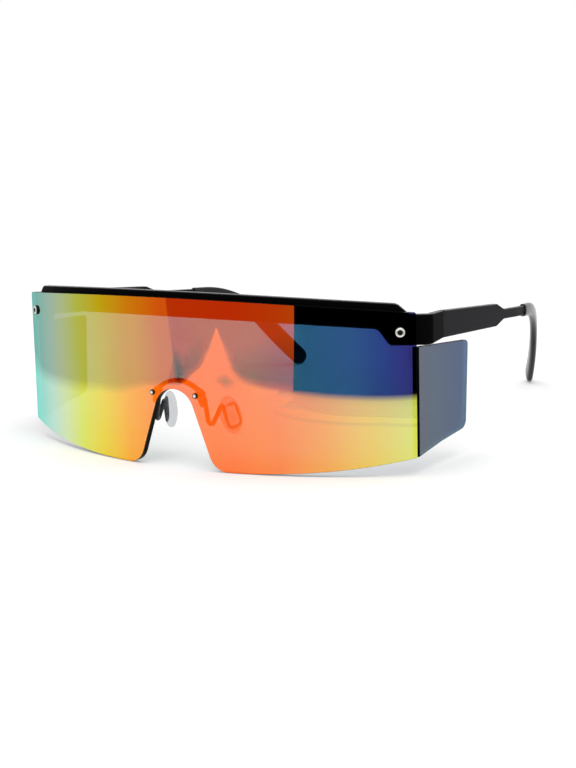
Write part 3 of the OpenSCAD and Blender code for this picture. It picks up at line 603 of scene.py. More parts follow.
# Brow bar
# One piece of 2 mm metal sheet, cut flat, bent to the curve of the lens and turned round both corners
# into the end pieces, which carry the hinges. It is tumbled to break its edges and lacquered satin black.
metal_t = 2 * mm
flange_t = 0.2 * mm
snug = 0.03 * mm
bar_top = 5.1 * mm
bar_low = 2.5 * mm
bar_fall = 2.7 * mm
shoulder_x = 65 * mm
low_shoulder_x = 60.1 * mm
top_step = 3.1 * mm
low_step = 3 * mm
shoulder_r = 2 * mm
top_shoulder_r = 3 * mm
end_top = 0.7 * mm
end_h = 9.5 * mm
end_corner_r = 2.6 * mm
end_level_y = 3.2 * mm
hinge_at = Vector((72.595 * mm, 13.7 * mm))
temple_splay = radians(4.6)
temple_drop = 4.75 * mm
temple_h = 7.9 * mm
split_gap = 0.08 * mm
metal_polish = 0.22 * mm
bar_hole_r = 0.72 * mm
bar_depth = lens_t + flange_t + 2 * snug
bar_r = lens_r - bar_depth
temple_out = Vector((cos(temple_splay), sin(temple_splay)))
temple_along = Vector((-temple_out.y, temple_out.x))

# Sprayed lacquer dries with a soft orange peel, 0.7 mm wide, which spreads what it mirrors to a satin
satin_black = grained("satin_black_lacquer_on_metal", "#0A0A0C", 0.7 * mm, 3, (0.3, 0.42),
                      {"Specular IOR Level": 0.01}, bump=(0.08, 0.02 * mm))

# Along its edges the lacquer has drawn thin over the tumbled metal and shines more, in runs of 2 mm
edge_lacquer = grained("thin_black_lacquer_on_edges", "#121214", 2 * mm, 3, (0.22, 0.4),
                       {"Specular IOR Level": 0.3})

# The bar meets the lens's curve and the temple's line in a round corner that is tangent to both
start = hinge_at - Vector((0, axis_y)) - end_corner_r * temple_out
reach = -start.dot(temple_along) - sqrt(
    start.dot(temple_along) ** 2 - start.dot(start) + (bar_r - end_corner_r) ** 2)
corner_at = start + reach * temple_along
corner_from = atan2(corner_at.y, corner_at.x)
corner_at.y += axis_y
corner_u = bar_r * (corner_from + pi / 2)
side_u = corner_u + end_corner_r * (temple_splay - corner_from)
side_start = corner_at + end_corner_r * temple_out
end_u = side_u + (hinge_at - split_gap * temple_along - side_start).length


def bar_plan(u):
    """The bar's outer face seen from above, at u along it from the middle, and the way out of it there."""
    run = abs(u)
    if run < corner_u:
        angle = run / bar_r - pi / 2
        place = Vector((bar_r * cos(angle), axis_y + bar_r * sin(angle)))
    elif run < side_u:
        angle = corner_from + (run - corner_u) / end_corner_r
        place = corner_at + end_corner_r * Vector((cos(angle), sin(angle)))
    else:
        angle = temple_splay
        place = side_start + (run - side_u) * temple_along
    side = -1 if u < 0 else 1
    return Vector((side * place.x, place.y)), Vector((side * cos(angle), sin(angle)))


def bar_outline():
    """The bar before it was bent, from the middle of its lower edge and back over its upper edge."""
    def at_front(x, z):
        return Vector((bar_r * asin(x / bar_r), z))

    def at_side(y, z):
        return Vector((side_u + (y - side_start.y) / cos(temple_splay), z))

    def edge_z(z, x):
        return z - bar_fall * (x / shoulder_x) ** 2

    low = [at_front(x, edge_z(-bar_low, x)) for x in spaced(0, low_shoulder_x, lens_grid)]
    low += [at_front(low_shoulder_x + low_step, -end_h), at_side(end_level_y, -end_h)]
    end = [Vector((end_u, way * temple_h / 2 - temple_drop)) for way in (-1, 1)]
    top = [at_side(end_level_y, -end_top), at_front(shoulder_x + top_step, -end_top)]
    curve = [at_front(x, edge_z(bar_top, x)) for x in spaced(shoulder_x, 0, lens_grid)]
    radii = [0] * (len(low) - 3) + [shoulder_r] * 3 + [0, 0, shoulder_r, shoulder_r / 2, top_shoulder_r]
    half = low + end + top + curve
    return both_halves(rounded(half, radii + [0] * (len(half) - len(radii))))


def bent(plan, flat, sides, thick, polish):
    """Bends a flat sheet along its plan. Gives its points and the way out of it at each."""
    points, normals = [], []
    for (u, layer, z), way in zip(flat, sides):
        place, out = plan(u)
        depth = layer_depth(layer, thick(u), polish)
        points.append(Vector((place.x - out.x * depth, place.y - out.y * depth, z)))
        if way is None:
            normals.append(Vector((-out.x, -out.y, 0)) if layer else Vector((out.x, out.y, 0)))
        else:
            normals.append(Vector((-out.y * way.x, out.x * way.x, way.y)))
    return points, normals


bend_columns = spaced(corner_u, side_u, 0.3 * mm)
bar_columns = spaced(0, corner_u, lens_grid)[:-1] + bend_columns + spaced(side_u, end_u, lens_grid)[1:-1]
bar_columns = [-u for u in reversed(bar_columns[1:])] + bar_columns
bar_hole_u = bar_r * asin(end_screw_at[0] / lens_r)
bar_holes = [ring_at((side * bar_hole_u, end_screw_at[1]), bar_hole_r, bar_hole_r) for side in (1, -1)]
flat, faces, parts, sides = cut_sheet(
    [bar_outline()] + bar_holes, bar_columns, spaced(-end_h, bar_top, 2 * mm), metal_polish)
points, normals = bent(bar_plan, flat, sides, lambda u: metal_t, metal_polish)
dress(mirrored_mesh("bent_brow_bar", points, faces, normals, 1), (satin_black, edge_lacquer),
      [part % 2 for part in parts], "front", "black_metal", "brow_bar")

# Lens screws
# Turned steel screws with low round heads, two with a hexagon socket at the lens's ends and two smaller
# plain ones at the nose bridge. Only their crown is polished bright steel; the socket and the head's rim are
# painted near black as shade. They stand in clear bushes square to the curved lens.
end_head_r = 1.45 * mm
end_head_h = 0.75 * mm
end_shank_r = 0.7 * mm
bridge_head_r = 0.8 * mm
bridge_head_h = 0.5 * mm
bridge_shank_r = 0.5 * mm
bridge_t = 0.9 * mm
nut_t = 1 * mm
screw_end = 0.3 * mm
socket_share = 0.5
socket_broken = 0.04 * mm
screw_sides = 48
screw_crease = radians(40)
crown_middle_share = 0.1
crown_steps = 8
end_bright_steps = 5
bridge_bright_steps = 3
crown_fall_share = 0.5

# A polished crown is bright but soft, from scratches of some hundredths of a millimetre. They are drawn
# coarser, so that they show.
steel = grained("polished_stainless_steel", "#EDEBE6", 0.4 * mm, 2, (0.24, 0.36), {"Metallic": 1})

# The socket and the rim are painted dull and nearly black: painted shade in the deep socket and in the gap
# round the head. Its fine crystals are drawn coarser too.
shade_painted_black = grained("steel_painted_with_shade", "#141416", 0.33 * mm, 2, (0.5, 0.7), {"Specular IOR Level": 0.2})


def skin(rings):
    """The faces of a closed skin over rings of equally many points."""
    count = len(rings[0])
    faces = [list(range(count)), [len(rings) * count - 1 - k for k in range(count)]]
    for i in range(len(rings) - 1):
        for k in range(count):
            a, b = i * count + k, i * count + (k + 1) % count
            faces.append((a, a + count, b + count, b))
    return faces


def soft_mesh(name, rings, crease, side=1):
    """A smooth skin over rings, sharp only where it turns by more than the crease, or its mirror image."""
    mesh = mesh_from(name, [on_side(side, p) for ring in rings for p in ring[::side]], skin(rings))
    mesh.shade_smooth()
    mesh.set_sharp_from_angle(angle=crease)
    return mesh


def screw_mesh(name, head_r, head_h, shank_r, shank_len, bright_steps, socket):
    """A screw along Z with the underside of its head at z = 0. Its crown is bright steel for some of its
    steps; the rest is painted dark as shade.
    """
    turns = [2 * pi * k / screw_sides for k in range(screw_sides)]

    def circle(r, z):
        return [Vector((r * cos(t), r * sin(t), z)) for t in turns]

    def hexagon(r, z):
        # Six straight sides, each with an even share of the ring's points
        return [Vector((p.x * share, p.y * share, z)) for p, share in zip(
            circle(r, z), [cos(pi / 6) / cos(t % (pi / 3) - pi / 6) for t in turns])]

    rings = []
    crown_r = head_r * crown_middle_share
    if socket:
        socket_r = head_r * socket_share
        crown_r = socket_r + socket_broken
        rings += [hexagon(socket_r, head_h * (1 - socket_share)), hexagon(socket_r, head_h - socket_broken)]
    crown_from = len(rings)
    for i in range(crown_steps + 1):
        a = pi / 2 * i / crown_steps
        fall = crown_fall_share * (1 - cos(a))
        rings.append(circle(crown_r + (head_r - crown_r) * sin(a), head_h * (1 - fall)))
    rings += [circle(head_r, 0), circle(shank_r, 0), circle(shank_r, screw_end - shank_len),
              circle(shank_r - screw_end / 2, -shank_len)]
    mesh = soft_mesh(name, rings, screw_crease)
    # Polished steel are the crown's inner steps, and the plain screws' middle; the rest carries the painted
    # shade
    label_parts(mesh, [int(socket), 1] + [
        int(not crown_from <= i < crown_from + bright_steps) for i in range(len(rings) - 1) for _ in turns])
    return mesh


tree, given, made = shape_tree("pair_on_the_lens", ["Radius", "Axis", "Left X", "Right X", "Height"])
right_end, left_end = [
    add_node(tree, "ShaderNodeCombineXYZ", {0: given.outputs[end], 2: given.outputs["Height"]})
    for end in ("Right X", "Left X")]
pair = add_node(tree, "GeometryNodeMeshLine", {
    "Count": 2, "Start Location": right_end, "Offset": left_end}, mode="END_POINTS")
seats, x = formed(tree, given, pair)
share = add_node(tree, "ShaderNodeMath", {0: x, 1: given.outputs["Radius"]}, operation="DIVIDE")
turn = add_node(tree, "ShaderNodeMath", {0: share}, operation="ARCSINE")
turned = add_node(tree, "ShaderNodeCombineXYZ", {0: pi / 2, 2: turn})
copies = add_node(tree, "GeometryNodeInstanceOnPoints", {
    "Points": seats, "Instance": given.outputs["Geometry"], "Rotation": turned})
plain = add_node(tree, "GeometryNodeRealizeInstances", {0: copies})
# The second material paints the sockets and rims dark as shade
paint_parts(tree, plain, [steel, shade_painted_black], made)

bridge_back = bar_depth + bridge_t
for name, (x, z), size in (
        ("end_screw_pair", end_screw_at,
         (end_head_r, end_head_h, end_shank_r, bar_depth + metal_t + screw_end, end_bright_steps, True)),
        ("bridge_screw_pair", bridge_screw_at,
         (bridge_head_r, bridge_head_h, bridge_shank_r, bridge_back + nut_t + screw_end, bridge_bright_steps,
          False))):
    one = linked(name + "_one", screw_mesh(name + "_one", *size))
    pair = made_by(tree, one, name, {
        "Radius": lens_r + snug, "Axis": axis_y, "Left X": x, "Right X": -x, "Height": z})
    settle(pair, "front", "polished_steel", name.replace("_pair", "s"))

# Bushes, nuts, nose bridge and hinges
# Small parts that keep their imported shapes: clear nylon bushes in the lens's holes, steel nuts, the stamped
# bridge in black lacquer, and turned and welded hinge leaves with a slotted steel screw in each.

# Moulded nylon lets half of the light through. Flow marks of 1.25 mm vary its gloss.
nylon = grained("clear_nylon", "#D9DBDD", 1.25 * mm, 2, (0.2, 0.4), {"IOR": 1.53},
                clear=("#F4F5F6", 0.45, 0.45))

# Dark plating keeps the metal's shine, which the etched ground under it dulls, drawn coarser to show
plated = grained("dark_plated_nickel_silver", "#4A4A4D", 0.55 * mm, 3, (0.28, 0.45), {"Metallic": 1})
packed = [("nose_bridge", satin_black), ("bridge_nuts", steel), ("end_bushes", nylon),
          ("bridge_bushes", nylon)]
packed += [(f"{node}_{hand}", material) for hand, side in hands for node, material in (
    ("front_hinge", plated), ("temple_hinge", plated), ("hinge_screw", steel))]
for node, material in packed:
    materials = frame["nodes"][node].data.materials
    for i in range(len(materials)):
        materials[i] = material

# Nose arms
# Each is one black lacquered wire, soldered behind the bridge's lug. It runs down beside the notch, turns up
# behind the lens and closes in a thinner loop that carries the pad. A wetted fillet of solder holds its end.
arm_wire_r = 0.7 * mm
loop_wire_r = 0.4 * mm
arm_seat_x = 8.4 * mm
arm_lean = radians(8.6)
arm_top_z = -26.6 * mm
arm_low_z = -36.4 * mm
arm_bend_r = 1.2 * mm
arm_curl_up = 1.3 * mm
tail_z = -28.1 * mm
bead_top_z = -26.4 * mm
bead_low_z = -28.4 * mm
bead_w = 1.61 * mm
bead_t = 1.05 * mm
bead_sunk = 0.245 * mm
bead_blunt = 0.02
bead_steps = 12
bead_sides = 24
loop_len = 7 * mm
loop_w = 4.2 * mm
loop_r = 1.3 * mm
pad_at = Vector((12.2, -6.67, -32.9)) * mm
pad_back_angle = radians(14)
pad_in_angle = radians(8)
pad_splay = radians(30)
pad_turn = (Matrix.Rotation(-pad_in_angle, 3, "Y") @ Matrix.Rotation(pad_back_angle, 3, "X")
            @ Matrix.Rotation(-pad_splay, 3, "Z"))


def in_pad(x, y, z):
    return pad_turn @ Vector((x, y, z)) + pad_at


def arm_x(z):
    return arm_seat_x + (arm_top_z - z) * tan(arm_lean)


arm_y = lens_y(arm_x(tail_z), bridge_back) + arm_wire_r + snug
bead_y = arm_y - bead_sunk
arm_corners = [
    Vector((arm_x(arm_top_z), arm_y, arm_top_z)),
    Vector((arm_x(arm_low_z), arm_y, arm_low_z)),
    in_pad(0, -loop_w / 2, loop_len / 2 + arm_curl_up),
    in_pad(0, -loop_w / 2, -loop_len / 2),
    in_pad(0, loop_w / 2, -loop_len / 2),
    in_pad(0, loop_w / 2, loop_len / 2),
    in_pad(0, -loop_w / 2 + 4 * loop_wire_r, loop_len / 2)]
arm_radii = [0, arm_bend_r, arm_bend_r / 2, loop_r, loop_r, loop_r, 0]
arm_path = rounded(arm_corners, arm_radii)
points_in_bend = 11
arm_runs = [0]
for a, b in zip(arm_path, arm_path[1:]):
    arm_runs.append(arm_runs[-1] + (b - a).length)
taper_from = arm_runs[1 + points_in_bend] / arm_runs[-1]
taper_to = arm_runs[1 + 2 * points_in_bend] / arm_runs[-1]

# Dipped lacquer runs smoother than sprayed and shines more, with ripples of 0.6 mm
gloss_black = grained("black_lacquer_on_wire", "#08080A", 0.6 * mm, 2, (0.2, 0.32))

tree, given, made = shape_tree("drawn_wire", ["Wire", "Loop", "Taper From", "Taper To"])
route = add_node(tree, "GeometryNodeMeshToCurve", {"Mesh": given})
along = add_node(tree, "GeometryNodeSplineParameter")
radius = add_node(tree, "ShaderNodeMapRange", {
    "Value": along.outputs["Factor"],
    "From Min": given.outputs["Taper From"], "From Max": given.outputs["Taper To"],
    "To Min": given.outputs["Wire"], "To Max": given.outputs["Loop"]}, interpolation_type="SMOOTHSTEP")
round_wire = add_node(tree, "GeometryNodeCurvePrimitiveCircle", {"Resolution": 20, "Radius": 1})
wire = add_node(tree, "GeometryNodeCurveToMesh", {
    "Curve": route, "Profile Curve": round_wire, "Scale": radius, "Fill Caps": True})
smooth = add_node(tree, "GeometryNodeSetShadeSmooth", {"Geometry": wire})
plain = add_node(tree, "GeometryNodeRealizeInstances", {0: smooth})
painted = add_node(tree, "GeometryNodeSetMaterial", {"Geometry": plain, "Material": gloss_black})
tree.links.new(painted.outputs[0], made.inputs[0])

bead_rings = []
for i in range(bead_steps + 1):
    t = i / bead_steps
    z = bead_top_z + (bead_low_z - bead_top_z) * t
    swell = sqrt(max(bead_blunt, 1 - (2 * t - 1) ** 2))
    bead_rings.append([
        Vector((arm_x(z) + bead_w / 2 * swell * cos(a), bead_y + bead_t / 2 * swell * sin(a), z))
        for a in [-2 * pi * k / bead_sides for k in range(bead_sides)]])
for hand, side in hands:
    route = mesh_from(f"arm_route_{hand}", [on_side(side, p) for p in arm_path], [],
                      [(i, i + 1) for i in range(len(arm_path) - 1)])
    arm = made_by(tree, linked(route.name, route), f"wire_nose_arm_{hand}", {
        "Wire": arm_wire_r, "Loop": loop_wire_r, "Taper From": taper_from, "Taper To": taper_to})
    settle(arm, "front", "black_wire", f"nose_arm_{hand}")
    dress(soft_mesh(f"solder_fillet_{hand}", bead_rings, radians(60), side), [gloss_black], None,
          "front", "black_wire")

# Nose pads
# Soft clear silicone, a little milky, moulded as a flattened egg over the wire loop, with its full side
# towards the nose. The loop shows through it.
pad_h = 12 * mm
pad_w = 6.8 * mm
pad_t = 4.2 * mm
pad_shift = pad_t / 2 - 0.9 * mm
pad_full_share = 0.85
pad_rings = 28
pad_sides = 36
pad_pole_gap = 0.2

# Silicone scatters light in a milky haze, a little thicker or thinner every 3.85 mm
silicone = grained("clear_silicone", "#C9CBCF", 3.85 * mm, 2, (0.22, 0.4), {"IOR": 1.41},
                   clear=("#F0F1F2", 0.13, 0.19))

rings = []
for i in range(pad_rings + 1):
    a = pi * (i + pad_pole_gap) / (pad_rings + 2 * pad_pole_gap) - pi / 2
    wide = cos(a) ** pad_full_share
    rings.append([in_pad(pad_t / 2 * wide * cos(b) - pad_shift, pad_w / 2 * wide * sin(b), pad_h / 2 * sin(a))
                  for b in [-2 * pi * k / pad_sides for k in range(pad_sides)]])
for hand, side in hands:
    dress(soft_mesh(f"silicone_pad_{hand}", rings, radians(70), side), [silicone], None,
          "front", "clear_silicone", f"nose_pad_{hand}")

# Temples
# Each is cut from 2 mm metal sheet: a wide plate behind the hinge that narrows to an arm, curved inwards,
# whose thin core runs on inside the ear tip. It is brushed along its length and plated satin dark grey.
wide_h = 7 * mm
wide_len = 44 * mm
neck_len = 6.5 * mm
arm_h = 3.1 * mm
arm_t = 1.4 * mm
temple_slope = radians(3.9)
arm_straight_len = 9.5 * mm
arm_curved_len = 10.5 * mm
inward_r = 120 * mm
tip_front_len = 5.9 * mm
bend_r = 38.2 * mm
bend_angle = radians(44)
tip_len = 24.5 * mm
core_h = 1.8 * mm
core_share = 0.8
core_step = 4 * mm
row_step = 1.5 * mm
rows_low = 40 * mm
straight_len = wide_len + neck_len + arm_straight_len
tip_from = straight_len + arm_curved_len
bend_from = tip_from + tip_front_len
bend_end = bend_from + bend_r * bend_angle
tip_end = bend_end + tip_len

# Brush marks dull the metal to a satin. They run along the temple, which falls a little towards the ear.
# Real ones are a twentieth of a millimetre wide and don't show, so they are drawn wider.
brush_tilt = temple_slope + atan2(pin_axis.y, pin_axis.z)
brush_len = 50 * mm
satin_grey = grained("satin_plating_on_brushed_metal", "#1B1B20", 0.9 * mm, 2, (0.36, 0.5),
                     {"Specular IOR Level": 0.027}, bump=(0.05, 0.01 * mm), brushed=(brush_tilt, brush_len))


def line_at(s):
    """The temple's centre line seen from the side: y, z and the angle down, at s along it from the hinge."""
    straight = min(s, bend_from)
    y, z, a = straight * cos(temple_slope), -temple_drop - straight * sin(temple_slope), temple_slope
    if s > bend_from:
        b = a + (min(s, bend_end) - bend_from) / bend_r
        y += bend_r * (sin(b) - sin(a)) + max(0, s - bend_end) * cos(b)
        z += bend_r * (cos(b) - cos(a)) - max(0, s - bend_end) * sin(b)
        a = b
    return y, z, a


def edge_at(s, h):
    """A place on the temple's outer face, unrolled, at a height h above the centre line."""
    y, z, a = line_at(s)
    y += h * sin(a)
    if y > straight_len:
        y = straight_len + inward_r * asin((y - straight_len) / inward_r)
    return Vector((y, z + h * cos(a)))


def temple_plan(u):
    turn = max(0, u - straight_len) / inward_r
    x, y = inward_r * (cos(turn) - 1), min(u, straight_len) + inward_r * sin(turn)
    angle = temple_splay + turn
    return hinge_at + x * temple_out + y * temple_along, Vector((cos(angle), sin(angle)))


def temple_t(u):
    return metal_t + (arm_t - metal_t) * max(0, min(1, (u - wide_len) / neck_len))


core = spaced(tip_from, tip_from + (tip_end - tip_from) * core_share, core_step)
heights = [(wide_len, wide_h), (wide_len + neck_len, arm_h), (tip_from, arm_h)] + [(s, core_h) for s in core]
low, high = [
    [Vector((split_gap, way * temple_h / 2 - temple_drop))] + [edge_at(s, way * h / 2) for s, h in heights]
    for way in (-1, 1)]
radii = [0, neck_len / 2, neck_len / 2] + [0] * (1 + len(core))
flat, faces, parts, sides = cut_sheet(
    [rounded(low + high[::-1], radii + radii[::-1])], spaced(0, tip_end, lens_grid)[1:-1],
    spaced(-rows_low, 0, row_step), metal_polish)
points, normals = bent(temple_plan, flat, sides, temple_t, metal_polish)
for hand, side in hands:
    dress(mirrored_mesh(f"plated_temple_{hand}", points, faces, normals, side), (satin_grey, edge_lacquer),
          [part % 2 for part in parts], f"temple_{hand}", "temple_metal", f"temple_{hand}")

# Temple tips
# Black cellulose acetate, tumbled to a high gloss, pushed warm onto the core and bent down and inwards
# behind the ear. It swells from a slim front end to a flat paddle with a round end.
tip_h = 4.1 * mm
paddle_h = 6.5 * mm
tip_t = 2.5 * mm
tip_edge_r = 0.6 * mm
paddle_from_share = 0.8
tip_soft_share = 0.75
tip_sides = 32
tip_steps = 60
tip_edge_steps = 4
tip_end_steps = 14
tip_pole_gap = 0.3
tip_trim = 0.04 * mm
arm_mid_r = inward_r - arm_t / 2

# Tumbled acetate mirrors clearly, bent by low waves of 8.3 mm
black_gloss = grained("polished_black_acetate", "#060607", 8.3 * mm, 2, (0.06, 0.14),
                      {"IOR": 1.49, "Specular IOR Level": 0.3}, bump=(0.15, 0.05 * mm))


def tip_ring(s, shrink):
    """A ring of the tip's soft-edged section, square to its centre line."""
    y, z, fall = line_at(s)
    inward = max(y - straight_len, 0)
    yaw = asin(inward / arm_mid_r)
    centre = Vector((sqrt(arm_mid_r ** 2 - inward ** 2) - inward_r, y, z))
    across = Vector((cos(yaw), sin(yaw), 0))
    up = across.cross(Vector((-tan(yaw) * cos(fall), cos(fall), -sin(fall))).normalized())
    t = min((s - tip_from) / ((tip_end - tip_from) * paddle_from_share), 1)
    height = tip_h + (paddle_h - tip_h) * t * t * (3 - 2 * t)
    ring = []
    for k in range(tip_sides):
        a = 2 * pi * (k + 0.5) / tip_sides
        wide, high = [abs(v) ** tip_soft_share * (1 if v > 0 else -1) for v in (cos(a), sin(a))]
        p = centre + shrink * (across * wide * tip_t + up * high * height) / 2
        level = hinge_at + p.x * temple_out + p.y * temple_along
        ring.append(Vector((level.x, level.y, p.z)))
    return ring


round_from = tip_end - tip_trim - paddle_h / 2
full_from = tip_from + tip_edge_r / 2
edge_turns = [pi / 2 * i / tip_edge_steps for i in range(tip_edge_steps)]
end_turns = [pi / 2 * i / (tip_end_steps + tip_pole_gap) for i in range(1, tip_end_steps + 1)]
tip_rings = [tip_ring(full_from - tip_edge_r / 2 * cos(a), 1 - tip_edge_r / tip_h * (1 - sin(a)))
             for a in edge_turns]
tip_rings += [tip_ring(full_from + (round_from - full_from) * i / tip_steps, 1) for i in range(tip_steps + 1)]
tip_rings += [tip_ring(round_from + paddle_h / 2 * sin(a), cos(a)) for a in end_turns]
for hand, side in hands:
    dress(soft_mesh(f"acetate_tip_{hand}", tip_rings, radians(50), side), [black_gloss], None,
          f"temple_{hand}", "tip_acetate", f"temple_tip_{hand}")

# Floor and light
# A pale table without a horizon, a soft light from above, and the white of the room.
floor_half = 20.0
lamp_at = Vector((0.1, -0.1, 1.1))
lamp_size = 0.9
lamp_power = 7.0
room_light = 0.6
floor_lift = 0.2
floor_white_from = 0.15
floor_white_to = 0.4

floor_white, tree = new_material("pale_table")
path = add_node(tree, "ShaderNodeLightPath").outputs
matt = add_node(tree, "ShaderNodeBsdfDiffuse", {"Color": from_hex("#EFEFEF")})
lift = add_node(tree, "ShaderNodeEmission", {"Color": from_hex("#FFFFFF"), "Strength": floor_lift})
white = add_node(tree, "ShaderNodeEmission", {"Color": from_hex("#FFFFFF"), "Strength": 1})
near = add_node(tree, "ShaderNodeAddShader", {0: matt, 1: lift})
place = add_node(tree, "ShaderNodeTexCoord").outputs["Object"]
off = add_node(tree, "ShaderNodeVectorMath", {0: place}, operation="LENGTH")
away = add_node(tree, "ShaderNodeMapRange", {
    "Value": off.outputs["Value"], "From Min": floor_white_from, "From Max": floor_white_to},
    interpolation_type="SMOOTHSTEP")
seen = add_node(tree, "ShaderNodeMixShader", {0: away, 1: near, 2: white})
by_camera = add_node(tree, "ShaderNodeMixShader", {0: path["Is Camera Ray"], 1: matt, 2: seen})
show(tree, add_node(tree, "ShaderNodeMixShader", {0: path["Is Glossy Ray"], 1: by_camera, 2: white}))
floor = linked("table", mesh_from("table", [
    (-floor_half, -floor_half, 0), (floor_half, -floor_half, 0),
    (floor_half, floor_half, 0), (-floor_half, floor_half, 0)], [(0, 1, 2, 3)]))
floor.data.materials.append(floor_white)

world = bpy.data.worlds.new("room")
bpy.context.scene.world = world
world.use_nodes = True
tree = world.node_tree
tree.nodes.clear()
path = add_node(tree, "ShaderNodeLightPath").outputs
soft = add_node(tree, "ShaderNodeBackground", {"Color": from_hex("#FFFFFF"), "Strength": room_light})
white = add_node(tree, "ShaderNodeBackground", {"Color": from_hex("#FFFFFF"), "Strength": 1})
direct = add_node(tree, "ShaderNodeMath", {0: path["Is Camera Ray"], 1: path["Is Glossy Ray"]})
straight = add_node(tree, "ShaderNodeMath", {0: direct, 1: path["Is Transmission Ray"]}, use_clamp=True)
chosen = add_node(tree, "ShaderNodeMixShader", {0: straight, 1: soft, 2: white})
add_node(tree, "ShaderNodeOutputWorld", {"Surface": chosen})

lamp = linked("overhead", bpy.data.lights.new("overhead", "AREA"))
lamp.data.size = lamp_size
lamp.data.energy = lamp_power
lamp.location = lamp_at
lamp.rotation_euler = (-lamp_at).to_track_quat("-Z", "Y").to_euler()

# What the mirror sees beyond the table, as cards lying on the table that only mirrored rays meet: a dark
# room, a brown wall and a paler one to its left, painted shade where the table's far end, its rim and a
# line across it are dimmer, a gap between the walls, and a dim spot.
card_z = 0.3 * mm
card_step = 0.1 * mm


def card(name, colour, level, points, faces, amounts):
    """A flat card which only mirrored rays see, as strongly as the amount at each of its points."""
    material, tree = new_material(name)
    amount = add_node(tree, "ShaderNodeAttribute", attribute_name="amount").outputs["Fac"]
    glow = add_node(tree, "ShaderNodeEmission", {"Color": from_hex(colour), "Strength": 1})
    clear = add_node(tree, "ShaderNodeBsdfTransparent")
    show(tree, add_node(tree, "ShaderNodeMixShader", {0: amount, 1: clear, 2: glow}))
    mesh = mesh_from(name, [(p.x, p.y, card_z + level * card_step) for p in points], faces)
    mesh.attributes.new("amount", "FLOAT", "POINT").data.foreach_set("value", amounts)
    mesh.materials.append(material)
    made = linked(name, mesh)
    for ray in ("camera", "diffuse", "transmission", "volume_scatter", "shadow"):
        setattr(made, f"visible_{ray}", False)


def wall_card(name, colour, level, near_line, far_points):
    """A card whose near edge, as (x, y, half its soft width) in mm, fades in. It reaches to far points."""
    near = [Vector(p[:2]) * mm for p in near_line]
    inner, outer = [], []
    for i, (p, given) in enumerate(zip(near, near_line)):
        along = (near[min(i + 1, len(near) - 1)] - near[max(i - 1, 0)]).normalized()
        soft = Vector((along.y, -along.x)) * given[2] * mm
        inner.append(p + soft)
        outer.append(p - soft)
    points = outer + inner + [Vector(p) * mm for p in far_points]
    n = len(near)
    faces = [(i, i + 1, n + i + 1, n + i) for i in range(n - 1)] + [range(n, len(points))]
    card(name, colour, level, points, faces, [0.0] * n + [1.0] * (len(points) - n))


def dim_card(name, level, rows):
    """A dark card that is strongest along its middle, from rows of its left, middle and right x and y in
    mm, and an amount."""
    points = [Vector(row[k:k + 2]) * mm for row in rows for k in (0, 2, 4)]
    faces = [(i + k, i + k + 1, i + k + 4, i + k + 3)
             for i in range(0, 3 * len(rows) - 3, 3) for k in (0, 1)]
    card(name, "#000000", level, points, faces, [v for row in rows for v in (0.0, row[6], 0.0)])


wall_card("dark_room", "#000000", 3, [
    (39, -246, 4), (54, -238, 9), (75, -227, 9), (99, -214, 9), (125, -197, 9), (149, -181, 9),
    (306, -83, 12), (596, 87, 12)], [(3000, 0), (3000, -3000), (160, -3000), (57, -689)])
wall_card("brown_wall", "#B8817C", 2, [
    (-113, -217, 7), (-101, -226, 5), (-99, -238, 4), (-102, -261, 3), (-102, -276, 3), (-102, -291, 3),
    (-107, -315, 4), (-114, -338, 5), (-118, -364, 4), (-125, -391, 4), (-132, -420, 3), (-145, -478, 1),
    (-130, -456, 2), (-116, -428, 3), (-100, -404, 4), (-87, -379, 4), (-75, -357, 5), (-64, -335, 5),
    (-54, -315, 6), (-45, -299, 7), (-32, -279, 8), (-17, -267, 8), (-4, -261, 8), (14, -254, 8),
    (35, -248, 8), (52, -240, 8)], [(80, -689), (160, -3000), (-2300, -3000), (-361, -536), (-273, -431),
    (-207, -353), (-155, -288)])
wall_card("pale_wall", "#D0D0D0", 1, [
    (-225, 40, 14), (-222, -12, 14), (-205, -23, 14), (-196, -29, 14), (-182, -48, 14), (-173, -73, 16),
    (-163, -102, 16), (-156, -130, 16), (-143, -147, 14), (-138, -168, 12), (-134, -192, 10),
    (-122, -206, 8), (-113, -217, 7), (-101, -225, 7)], [(-140, -288), (-190, -353), (-255, -431),
    (-340, -536), (-2270, -3000), (-3000, -3000), (-3000, 0)])
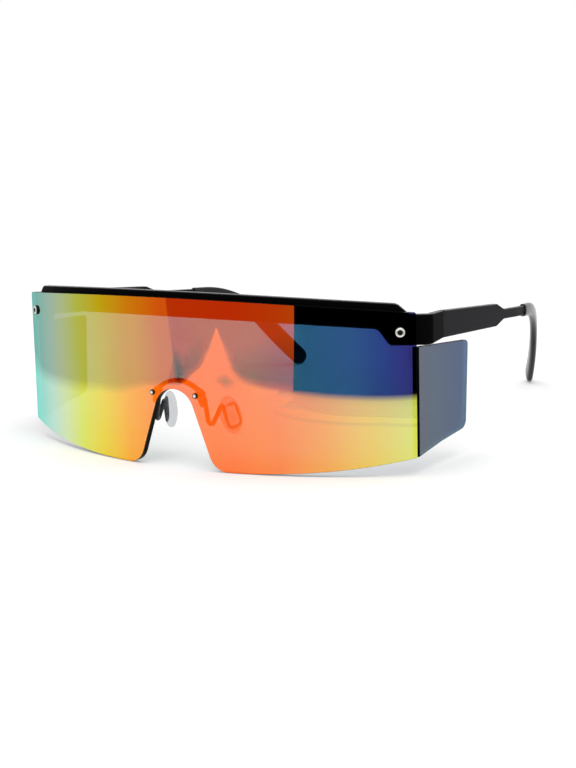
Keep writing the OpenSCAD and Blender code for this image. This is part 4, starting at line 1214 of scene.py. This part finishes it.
# The table's far end and its rim, painted dimmer as shade
wall_card("dim_table_end", "#EFEFEF", 0, [
    (32, -214, 12), (52, -200, 5), (66, -186, 3), (83, -174, 2), (107, -159, 2), (127, -140, 2),
    (150, -118, 2), (300, -20, 4)], [(600, 60), (310, -110), (160, -200), (101, -235), (50, -260)])
wall_card("dim_table_rim", "#DADADA", 1, [
    (22, -244, 9), (44, -235, 12), (62, -225, 13), (80, -215, 12), (98, -205, 13), (124, -187, 13),
    (148, -168, 14), (305, -65, 16)], [(330, -110), (160, -215), (101, -250), (50, -275), (25, -270)])
# A line of painted shade across the table's far end
dim_card("darker_line_on_table", 4, [
    (20, -208, 16, -204, 12, -200, 0), (32, -190, 28, -186, 24, -182, 0.06),
    (40, -182, 38, -177, 36, -172, 0.08), (52, -175, 50, -170, 48, -165, 0.1),
    (73, -163, 71, -158, 69, -153, 0.12), (84, -157, 81, -152, 78, -147, 0.12),
    (103, -146, 100, -141, 97, -136, 0.12), (121, -129, 118, -124, 115, -119, 0.12),
    (201, -74, 198, -69, 195, -64, 0.12)])
dim_card("shade_at_wall_foot", 4, [
    (-55, -309, -62, -330, -85, -425, 0), (-39, -285, -46, -306, -72, -409, 0.26),
    (-15, -268, -20, -289, -44, -417, 0.38), (6, -258, 3, -283, -15, -446, 0.42),
    (25, -252, 24, -280, 16, -501, 0.42), (42, -246, 43, -273, 51, -528, 0.42)])
dim_card("shade_by_the_gap", 5, [
    (-99, -242, -113, -259, -153, -310, 0), (-101, -262, -117, -278, -156, -329, 0.28),
    (-102, -290, -117, -304, -165, -360, 0.3), (-108, -319, -122, -329, -162, -379, 0.2),
    (-119, -364, -130, -373, -164, -419, 0)])
dim_card("gap_between_walls", 4, [
    (-190, -338, -188, -340, -187, -341, 0), (-174, -312, -171, -316, -162, -324, 0.2),
    (-157, -286, -151, -291, -130, -309, 0.5), (-136, -258, -129, -264, -112, -282, 0.78),
    (-123, -242, -116, -248, -105, -262, 0.84), (-113, -230, -108, -235, -99, -243, 0.72),
    (-101, -217, -98, -220, -94, -223, 0)])
dim_card("dim_spot", 4, [
    (-67, -287, -58, -293, -48, -295, 0), (-64, -256, -48, -263, -30, -269, 0.45),
    (-47, -234, -38, -235, -32, -240, 0)])

bpy.context.scene.view_settings.view_transform = "Standard"
